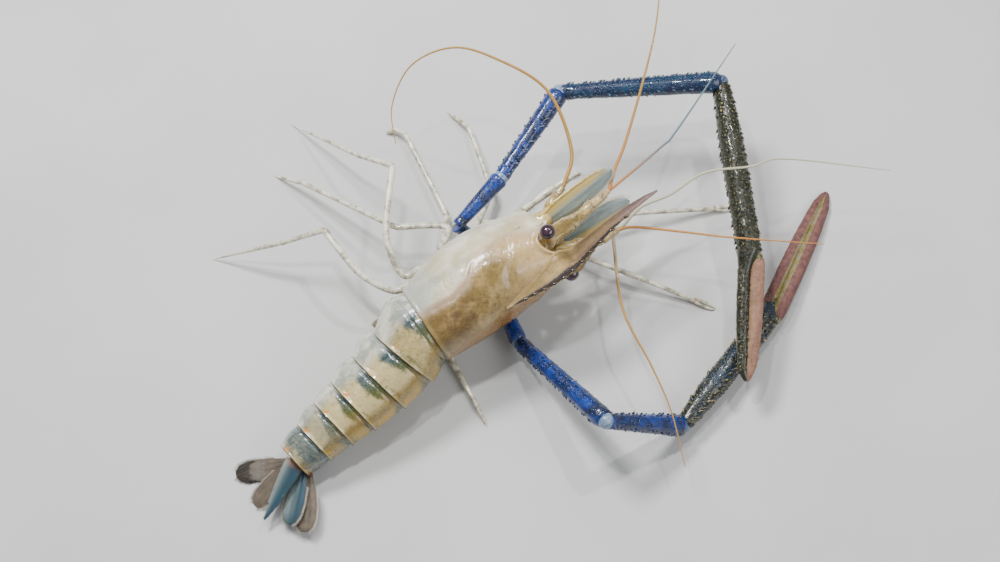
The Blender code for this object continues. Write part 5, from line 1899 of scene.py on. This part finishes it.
class PRAWN_OT_legs(Operator):
    """Build the jointed walking legs"""

    bl_idname = "prawn.legs"
    bl_label = "Walking legs"

    def execute(self, context):
        shell = leg_finish("leg_shell")
        bristles = bristle_finish("leg_bristles", LOOK.tan, LOOK.ivory)
        for name, along, side, spans in FIRST_LEGS:
            root, outward = leg_root(along, side)
            joints = [root, *chain(root + outward * 4.0, spans)]
            palm, tip = joints[-2:]
            spread = direction(spans[-1][1] + 90.0, 0.0) * 0.9
            parts = limb_parts(joints[:-1], list(np.linspace(2.0, 1.3, len(joints) - 1)), shell)
            for way, root_size in ((spread, 1.1), (-spread, 0.85)):
                path = [
                    palm + way * 0.5,
                    palm.lerp(tip, 0.4) + way * 1.1,
                    palm.lerp(tip, 0.8) + way * 0.95,
                    tip + way * 0.35,
                ]
                radii = girth(((0.0, root_size), *PINCER), np.linspace(0, 1, 19))
                parts.append(lay("pincer", tube_rings(eased(path, 6), radii, 12), shell))
            settle(name + "_piece", parts, "leg", name)
        for name, along, side, out, upper, lower in LEGS:
            root, outward = leg_root(along, side)
            above = chain(root + outward * out, upper)
            below = chain(above[-1], lower)
            rings = article_rings(root, above[0], LEG_ROOT_RADIUS, 2.0, 20, SHANK)
            parts = [lay("article", rings, shell)]
            if len(above) == 2:
                rings = article_rings(*above, 1.9, LEG_KNEE_RADIUS, 20, SHANK)
            else:
                rings = bent_rings(above, (1.9, LEG_KNEE_RADIUS), 20)
            parts.append(lay("article", rings, shell))
            settle(name + "_upper_piece", parts, "leg", name + "_upper")
            radii = [LEG_KNEE_RADIUS] + [1.3] * (len(below) - 2) + [LEG_TIP_RADIUS]
            parts = limb_parts(below, radii, shell)
            start, end = below[-2:]
            hairs = hairs_round(
                random.Random(name), 70, start, end, lambda place: 1.1 * (1.0 - 0.6 * place),
                (0.0, 0.8), 0.5, (0.8, 1.6), 0.07,
            )
            way = (end - start).normalized()
            parts.append(sprout("hair", thorn_shape(3, 0.05), bristles, hairs, way))
            settle(name + "_lower_piece", parts, "leg", name + "_lower")
        return {"FINISHED"}


# Each arm: its side, the spans of its short first articles, then those of its two long articles,
# of its palm and of its fingers.
ARMS = (
    (
        "left", 1, ((6.5, 152, 42), (31.4, 47, 12)),
        (53.2, 57, 4), (80.6, 5.4, -2.5), (91.8, -82, -9.7), (59.7, -94, -9.2),
    ),
    (
        "right", -1, ((9.5, -60, -75), (42.5, -66, -1.5)),
        (71.7, -51.7, 25.7), (48.9, 10.5, -37.4), (73.9, 51.6, -0.5), (77.0, 64.5, -5.1),
    ),
)
# Radii of the arms, in millimetres, from the body to the palm.
ARM_ROOT_RADIUS = 3.6
ELBOW_RADIUS = 4.1
MERUS_RADIUS = 4.7
CARPUS_RADIUS = 5.0
WRIST_RADIUS = 4.4
PALM_RADIUS = 6.0
PALM_END = 0.93 * PALM_RADIUS
PALM_SHAPE = ((0.0, 0.8), (0.06, 0.9), (0.1, 1.0), (0.8, 1.0), (1.0, 0.93))
# Long article of an arm: share of its length and of its radius.
ARM_ARTICLE = (
    (-0.010, 0.0), (-0.008, 0.4), (0.0, 0.72), (0.02, 0.84), (0.05, 0.86), (0.1, 0.8), (0.2, 0.84),
    (0.35, 0.9), (0.55, 0.96), (0.75, 1.0), (0.88, 1.06), (0.94, 1.1), (0.975, 1.02), (0.995, 0.8),
    (1.003, 0.45), (1.005, 0.0),
)
# Finger of a claw: share of its length and of its radius.
FINGER = (
    (0.0, 0.0), (0.008, 0.4), (0.025, 0.72), (0.05, 0.92), (0.1, 1.0), (0.3, 1.0), (0.55, 0.96),
    (0.75, 0.86), (0.88, 0.7), (0.95, 0.5), (0.985, 0.28), (1.0, 0.0),
)



def finger_ends(hinge, pointing, aside, sign, length):
    """Where one finger of a pair starts and ends; sign is 1 for the movable one."""
    apart, behind = (2.9, 2.5) if sign > 0 else (3.3, 0.0)
    base = hinge + aside * (sign * apart) - pointing * behind
    return base, hinge + pointing * length + aside * (sign * 1.6)


def finger_point(base, tip, aside, sign, place):
    """Middle of a finger, bowed outward and hooked inward at its tip."""
    bow = sign * 0.7 * sin(pi * place) - sign * 1.2 * float(smooth(place, 0.86, 1.0))
    return base.lerp(tip, place) + aside * bow


def palm_radius(share):
    """Radius of a palm at a share of the way from its wrist to its hinge."""
    return WRIST_RADIUS + (PALM_RADIUS - WRIST_RADIUS) * float(smooth(share, 0.0, 0.4))


def palm_rings(wrist, hinge, along, pointing, aside, length, thick):
    """Rings of a palm that runs on into its fixed finger, which is thick at its root."""
    reach = (hinge - wrist).length
    base, tip = finger_ends(hinge, pointing, aside, -1.0, length)
    path, radii = [], []
    joint = [key for key, size in ARM_ARTICLE[:5]]
    for share in np.concatenate([joint, np.linspace(0.08, 0.93, 60)]):
        path.append(wrist + along * (reach * share))
        slim = 1.0 - 0.08 * float(smooth(share, 0.8, 1.0))
        if share < 0.08:
            slim = girth(ARM_ARTICLE, share)
        radii.append(palm_radius(share) * slim)
    last = path[-1]
    for step in range(1, 9):
        share = step / 8.0
        path.append(last.lerp(finger_point(base, tip, aside, -1.0, 0.1), share))
        radii.append(PALM_END + (thick - PALM_END) * float(smooth(share, 0.1, 1.0)))
    for place in np.linspace(0.14, 1.0, 60):
        path.append(finger_point(base, tip, aside, -1.0, place))
        radii.append(thick * float(girth(FINGER, place)))
    return tube_rings(path, radii, 44)


def arm_thorns(start, end, radius, shape, finish, spacing, rows, seed, clear=0.05, low=0.7,
               high=1.5):
    """Thorns in leaning rows along an arm article."""
    draw = random.Random(seed)
    along = (end - start).normalized()
    length = (end - start).length
    aside = along.orthogonal().normalized()
    other = along.cross(aside)
    free = 1.0 - 2.0 * clear
    count = int(length * free / spacing)
    stems = []
    for row in range(rows):
        strong = row % 4 == 0
        for i in range(count):
            share = clear + free * (i + 0.5 * (row % 2) + draw.uniform(-0.4, 0.4)) / count
            share = min(max(share, clear), 1.0 - clear)
            turn = 2.0 * pi * (row + draw.uniform(-0.38, 0.38)) / rows
            radial = aside * cos(turn) + other * sin(turn)
            height = draw.uniform(low, high) * (1.35 if strong else draw.choice((0.45, 0.6, 0.8)))
            size = radius(share) * girth(shape, share)
            foot = start + along * (share * length) + radial * (0.96 * size)
            stems.append((foot, radial * 0.8 + along * 0.6, height, 0.36 * height + 0.08))
    return sprout("thorns", thorn_shape(6, 0.12), finish, stems, along)


def arm_joints(side, first, merus, carpus):
    """Joints of an arm: those of its short first articles, then its elbow and its wrist."""
    root, outward = leg_root(41.0, side)
    start = [root, *chain(root + outward * 3.0, first)]
    elbow, wrist = chain(start[-1], (merus, carpus))[1:]
    return start, elbow, wrist


class PRAWN_OT_arms(Operator):
    """Build the thorny arms up to the wrists"""

    bl_idname = "prawn.arms"
    bl_label = "Long arms"

    def execute(self, context):
        limbs = context.scene.prawn_limbs
        # Pale joint ends of both arm shells, and pale grain speckles of the navy one, are partly
        # painted glints.
        blue = arm_finish("cobalt_arm_shell", LOOK.cobalt, LOOK.navy, LOOK.cobalt, LOOK.arm_pale)
        deep = arm_finish("navy_arm_shell", LOOK.teal, LOOK.navy, LOOK.arm_glint, LOOK.arm_pale)
        # Pale tips on some arm thorns are partly painted glints.
        pale_thorn = thorn_finish("pale_arm_thorns", LOOK.navy, LOOK.arm_glint, 0.7)
        teal_thorn = thorn_finish("teal_arm_thorns", LOOK.claw_navy, LOOK.arm_glint, 0.6)
        membrane = simple_shell("arm_joint_skin", LOOK.joint_skin, LOOK.arm_pale, 500.0, 0.35)
        for name, side, *spans in ARMS:
            joints, elbow, wrist = arm_joints(side, *spans[:3])
            parts = []
            for a, b in zip(joints, joints[1:]):
                end_radius, shape = ARM_ROOT_RADIUS, ARTICLE
                if b is joints[-1]:
                    end_radius, shape = ELBOW_RADIUS, ARM_ARTICLE
                rings = article_rings(a, b, ARM_ROOT_RADIUS, end_radius, 28, shape)
                parts.append(lay("article", rings, blue))
            parts.append(arm_thorns(
                *joints[-2:], lambda share: 3.6 + 0.5 * share, ARM_ARTICLE, pale_thorn,
                3.4, 9, name + "ischium", 0.12, 0.4, 0.8,
            ))
            settle("arm_%s_ischium_piece" % name, parts, "arm", "arm_%s_ischium" % name)
            dark = (deep, teal_thorn) if side > 0 else (blue, pale_thorn)
            for word, a, b, thin, thick, shell, thorn in (
                ("merus", joints[-1], elbow, ELBOW_RADIUS + 0.3, MERUS_RADIUS, blue, pale_thorn),
                ("carpus", elbow, wrist, CARPUS_RADIUS - 0.3, CARPUS_RADIUS, *dark),
            ):
                rings = article_rings(a, b, thin, thick, 40, ARM_ARTICLE, steps=5)
                parts = [
                    lay("article", add_undulation(rings, 0.35, 0.3), shell),
                    arm_thorns(
                        a, b, lambda share: thin + (thick - thin) * share, ARM_ARTICLE, thorn,
                        limbs.thorn_spacing, limbs.thorn_rows, name + word,
                    ),
                    knob(a, 0.86 * thin, membrane),
                ]
                node = "arm_%s_%s" % (name, word)
                settle(node + "_piece", parts, "arm", node)
        return {"FINISHED"}


class PRAWN_OT_claws(Operator):
    """Build the thorny palms, the toothed fingers and their felt"""

    bl_idname = "prawn.claws"
    bl_label = "Claws"

    def execute(self, context):
        limbs = context.scene.prawn_limbs
        felts = {
            "left": (felt_finish("finger_felt_left", LOOK.felt, LOOK.felt_dark, 0.25),
                     bristle_finish("felt_tufts_left", LOOK.felt_dark, LOOK.felt)),
            "right": (felt_finish("finger_felt_right", LOOK.plush, LOOK.plush_dark, 0.85),
                      bristle_finish("felt_tufts_right", LOOK.plush_dark, LOOK.plush)),
        }
        hinge_skin = simple_shell(
            "finger_joint_skin", LOOK.felt_stripe, LOOK.claw_olive, 500.0, 0.35
        )
        membrane = simple_shell("wrist_skin", LOOK.joint_skin, LOOK.claw_navy, 500.0, 0.35)
        teeth_shell = simple_shell("finger_teeth", LOOK.cream, LOOK.tan, 600.0, 0.3)
        for name, side, *spans, palm, finger in ARMS:
            wrist = arm_joints(side, *spans)[2]
            along = direction(*palm[1:])
            hinge = wrist + along * palm[0]
            pointing = direction(*finger[1:])
            aside = direction(palm[1] + 90.0 * side, 0.0)
            felt, tufts = felts[name]
            ground, second, fixed_radius = (
                (LOOK.claw_black, LOOK.claw_olive, 3.2) if side > 0
                else (LOOK.claw_navy, LOOK.claw_black, 2.2)
            )
            # The claws' golden grain speckles are partly painted glints.
            shell = arm_finish(
                "claw_shell_" + name, ground, second, LOOK.golden, LOOK.claw_black, 0.3
            )
            # Golden tips on some claw thorns are partly painted glints.
            thorn = thorn_finish("claw_thorns_" + name, LOOK.claw_black, LOOK.golden, 0.75)
            rings = palm_rings(wrist, hinge, along, pointing, aside, finger[0], fixed_radius)
            palm_parts = [
                lay("palm", add_undulation(rings, 0.35, 0.3), shell),
                arm_thorns(
                    wrist, hinge, palm_radius, PALM_SHAPE, thorn, limbs.thorn_spacing * 0.8,
                    limbs.thorn_rows + 4, name + "palm", 0.03, 0.9, 1.9,
                ),
                knob(wrist, 0.86 * WRIST_RADIUS, membrane),
                knob(hinge + aside * 2.7 - along * 1.2, 3.3, hinge_skin),
            ]
            for sign in (-1.0, 1.0):
                thorny = side > 0 and sign < 0
                word, thick = ("free", 3.7) if sign > 0 else ("fixed", 3.2)
                base, tip = finger_ends(hinge, pointing, aside, sign, finger[0])
                way = (tip - base).normalized()
                other = way.cross(aside)
                parts = []
                if not thorny:
                    places = np.linspace(0.0, 1.0, 80)
                    path = [finger_point(base, tip, aside, sign, place) for place in places]
                    rings = tube_rings(path, thick * girth(FINGER, places), 32)
                    out = rings - rings.mean(axis=1, keepdims=True)
                    out /= np.maximum(np.linalg.norm(out, axis=2, keepdims=True), 1e-6)
                    inward = out @ np.array(-aside * sign) * 0.75 + np.abs(out[..., 2]) * 0.55
                    zones = {"stripe": paint(smooth(inward, 0.62, 0.92), 0.0, 0.0)}
                    rings = add_undulation(rings, 0.4, 0.3)
                    parts.append(lay("finger", rings, felt, True, zones))
                bites = []
                for share, height, width in ((0.2, 1.1, 1.0), (0.34, 1.0, 0.9)):
                    foot = finger_point(base, tip, aside, sign, share)
                    foot = foot - aside * (sign * thick * 0.75)
                    bites.append((foot, -aside * sign, height, width))
                parts.append(sprout("teeth", thorn_shape(8, 0.0), teeth_shell, bites, pointing))
                draw = random.Random(name + word)
                stems = []
                for _ in range(0 if thorny else limbs.felt_tufts):
                    place = draw.uniform(0.01 if sign > 0 else 0.06, 0.97)
                    turn = draw.uniform(0.0, 2.0 * pi)
                    out = aside * cos(turn) + other * sin(turn)
                    if name == "right" and -sign * out.dot(aside) * 0.75 + abs(out.z) * 0.55 > 0.8:
                        continue
                    size = 0.95 * thick * float(girth(FINGER, place))
                    foot = finger_point(base, tip, aside, sign, place) + out * size
                    lean = out * 0.8 + way * draw.uniform(0.3, 0.9)
                    stems.append((foot, lean, draw.uniform(0.35, 0.65), 0.16))
                if stems:
                    parts.append(sprout("tufts", thorn_shape(3, 0.1), tufts, stems, way))
                if sign > 0:
                    node = "claw_%s_finger" % name
                    settle(node + "_piece", parts, "felt", node)
                else:
                    reach, low, high = (0.96, 0.8, 1.7) if thorny else (0.16, 0.5, 1.2)
                    palm_parts += [*parts, arm_thorns(
                        base, base.lerp(tip, reach), lambda share: thick, FINGER, thorn, 2.0, 11,
                        name + "fixed", 0.02, low, high,
                    )]
            node = "claw_%s_palm" % name
            settle(node + "_piece", palm_parts, "claw", node)
        return {"FINISHED"}


FAN_HEADING = -118.0
FAN_DROP = -12.0
FAN_TILT = 16.0
# Share of its length that a tail blade's leaf keeps, because bristles run on beyond it.
FAN_SHORTENING = 0.93
# Each blade's turn from the fan's middle line, its layer, its root's left place, its size.
FAN = (
    ("telson", 0.0, 0.0, 0.0, 1.0),
    ("uropod_inner_left", -15.0, 4.1, 3.2, 0.92),
    ("uropod_inner_right", 15.0, 4.1, -3.2, 0.92),
    ("uropod_outer_left", -50.0, 6.8, 4.2, 1.0),
    ("uropod_outer_right", 28.0, 6.8, -4.2, 1.0),
)


class PRAWN_OT_tail(Operator):
    """Build the telson and the fringed blades of the tail fan"""

    bl_idname = "prawn.tail"
    bl_label = "Tail fan"

    def execute(self, context):
        brown = blade_finish(
            "brown_fan_shell", LOOK.fan_brown, LOOK.fan_dusk, LOOK.olive, None, 0.55, 0.0
        )
        # Blue-grey spread over one side of the telson and the inner right blade: painted light, that
        # side lighter where the light falls.
        steel = blade_finish(
            "steel_fan_shell", LOOK.fan_blue, LOOK.slate, LOOK.slate, LOOK.blue_grey, 0.3, 0.4, -1.0
        )
        bristles = bristle_finish("fan_bristles", LOOK.fan_brown, LOOK.milky)
        centre, _, back = ABDOMEN_FRAMES[-1][:3]
        middle = direction(FAN_HEADING, FAN_DROP)
        level = direction(FAN_HEADING - 90.0, 0.0)
        upright = level.cross(middle)
        across = level * cos(radians(FAN_TILT)) - upright * sin(radians(FAN_TILT))
        normal = facing(across.cross(middle).normalized())
        for name, turn, layer, aside, size in FAN:
            spans, short, ribs = FAN_SPANS, FAN_SHORTENING, 3
            if name == "telson":
                spans, short, ribs = TELSON_SPANS, 1.0, 1
            along = Matrix.Rotation(radians(turn), 3, normal) @ middle
            spans = tuple((a * size * short, b * size, c * size, d) for a, b, c, d in spans)
            root = centre + back * 2.6 - normal.cross(middle) * aside - normal * layer
            side = normal.cross(along)
            shell = steel if name in ("telson", "uropod_inner_right") else brown
            rings = fin_rings(root, along, side, normal, spans, ribs, 60, 48, 0.16)
            parts = [lay("leaf", rings, shell)]
            if name == "telson":
                spikes = []
                for place, edge in ((16.0, 0.75), (23.0, 0.75), (29.5, 0.6)):
                    for sign in (1.0, -1.0):
                        foot = root + along * place + side * (sign * edge * row_at(spans, place)[0])
                        way = along + side * (0.25 * sign) + normal * 0.25
                        spikes.append((foot + normal * 0.4, way, 1.5, 0.35))
                skin = thorn_finish("telson_spikes", LOOK.fan_blue, LOOK.milky)
                parts.append(sprout("spikes", thorn_shape(8, 0.05), skin, spikes, along))
            else:
                parts.append(
                    fringe(bristles, root, along, side, spans, (1, -1), 10.0 * size, 120, 2.4, name)
                )
            settle(name + "_piece", parts, "tail", name)
        return {"FINISHED"}


class PRAWN_OT_swimmerets(Operator):
    """Build the two-branched swimmerets under the abdomen"""

    bl_idname = "prawn.swimmerets"
    bl_label = "Swimmerets"

    def execute(self, context):
        shell = blade_finish("swimmeret_shell", LOOK.grey_cream, LOOK.cream, LOOK.tan)
        bristles = bristle_finish("swimmeret_bristles", LOOK.tan, LOOK.milky)
        for index, ring in enumerate(ABDOMEN_RINGS[:5]):
            centre, forward, back, left, (_, bottom, half) = ring_frame(index, 0.35)
            length = 0.86 * ring[0]
            below = BELLY_HOLLOW * bottom * (1.0 + ring[7]) + 1.6
            along = (-forward * 0.96 - back * 0.28).normalized()
            normal = facing(along.cross(left).normalized())
            spans = tuple(
                (a * length, b * 0.18 * half, c * 0.18 * half, d) for a, b, c, d in PLEOPOD_SPANS
            )
            for side, word in SIDES:
                root = centre - back * below + left * (side * 0.31 * half)
                rings = fin_rings(root, along, left, normal, spans, 2, 24, 24, 0.06)
                low = 0.3 * length
                parts = [
                    lay("leaf", rings, shell),
                    fringe(bristles, root, along, left, spans, (1, -1), low, 40, 1.2, word),
                ]
                node = "pleopod_%d_%s" % (index + 1, word)
                settle(node + "_piece", parts, "leg", node)
        return {"FINISHED"}


FLOOR_SIZE = 6.0
# Each soft light: place and longer side in metres, and power as a share of the key light's.
LIGHTS = (
    ("key_softbox", (-0.4, 0.45, 0.9), 0.3, 1.0),
    ("fill_softbox", (0.75, -0.3, 0.7), 0.8, 0.4),
    ("glint_left", (-0.16, 0.12, 0.8), 0.05, 0.16),
    ("glint_right", (0.2, 0.3, 0.75), 0.05, 0.16),
)
LIGHT_PROPORTION = 0.6
WORLD_COLOUR = (0.92, 0.95, 1.0, 1.0)
WORLD_STRENGTH = 0.37
SENSOR_WIDTH = 36.0
FOCAL_LENGTH = 69.84


class PRAWN_OT_stage(Operator):
    """Add the floor, the soft lights and the camera"""

    bl_idname = "prawn.stage"
    bl_label = "Floor, lights and camera"

    def execute(self, context):
        scene = context.scene
        stage = scene.prawn_stage
        deselect()
        bpy.ops.mesh.primitive_plane_add(size=FLOOR_SIZE)
        floor = dress(bpy.context.object, floor_finish())
        floor.name = "studio_floor"
        for name, place, size, share in LIGHTS:
            light = bpy.data.lights.new(name, "AREA")
            light.shape = "RECTANGLE"
            light.size = size
            light.size_y = LIGHT_PROPORTION * size
            light.energy = share * stage.key_power
            lamp = bpy.data.objects.new(name, light)
            scene.collection.objects.link(lamp)
            lamp.location = place
            lamp.rotation_euler = (-Vector(place)).to_track_quat("-Z", "Y").to_euler()
        world = bpy.data.worlds.new("soft_studio")
        world.use_nodes = True
        background = world.node_tree.nodes["Background"].inputs
        background[0].default_value = WORLD_COLOUR
        background[1].default_value = WORLD_STRENGTH
        scene.world = world
        camera = bpy.data.cameras.new("camera")
        camera.sensor_width = SENSOR_WIDTH
        camera.lens = FOCAL_LENGTH
        eye = bpy.data.objects.new("camera", camera)
        scene.collection.objects.link(eye)
        rise, away = stage.camera_height, stage.camera_distance
        eye.location = Vector((0.0, -away * cos(rise), away * sin(rise))) + SHIFT * MM
        eye.rotation_euler = (0.5 * pi - rise, 0.0, 0.0)
        scene.camera = eye
        return {"FINISHED"}


PIECES = (
    PRAWN_OT_stage,
    PRAWN_OT_carapace,
    PRAWN_OT_core,
    PRAWN_OT_abdomen,
    PRAWN_OT_rostrum,
    PRAWN_OT_sternum,
    PRAWN_OT_eyes,
    PRAWN_OT_scales,
    PRAWN_OT_feelers,
    PRAWN_OT_mouthparts,
    PRAWN_OT_legs,
    PRAWN_OT_arms,
    PRAWN_OT_claws,
    PRAWN_OT_tail,
    PRAWN_OT_swimmerets,
)


class PRAWN_PT_sidebar(Panel):
    """Lists the prawn's pieces and settings in the sidebar"""

    bl_label = "Giant river prawn"
    bl_idname = "PRAWN_PT_sidebar"
    bl_space_type = "VIEW_3D"
    bl_region_type = "UI"
    bl_category = "Prawn"

    def draw(self, context):
        for piece in PIECES:
            self.layout.operator(piece.bl_idname)
        for key, kind in GROUPS[1:]:
            group = getattr(context.scene, key)
            for name in kind.__annotations__:
                self.layout.prop(group, name)


GROUPS = (
    ("prawn_colours", PrawnColours),
    ("prawn_shell", PrawnShell),
    ("prawn_limbs", PrawnLimbs),
    ("prawn_stage", PrawnStage),
)


def register():
    for name, group in GROUPS:
        bpy.utils.register_class(group)
        setattr(bpy.types.Scene, name, PointerProperty(type=group))
    for piece in PIECES:
        bpy.utils.register_class(piece)
    bpy.utils.register_class(PRAWN_PT_sidebar)


def unregister():
    bpy.utils.unregister_class(PRAWN_PT_sidebar)
    for piece in reversed(PIECES):
        bpy.utils.unregister_class(piece)
    for name, group in reversed(GROUPS):
        delattr(bpy.types.Scene, name)
        bpy.utils.unregister_class(group)


def main():
    register()
    for piece in PIECES:
        area, name = piece.bl_idname.split(".")
        getattr(getattr(bpy.ops, area), name)()


if __name__ == "__main__":
    main()
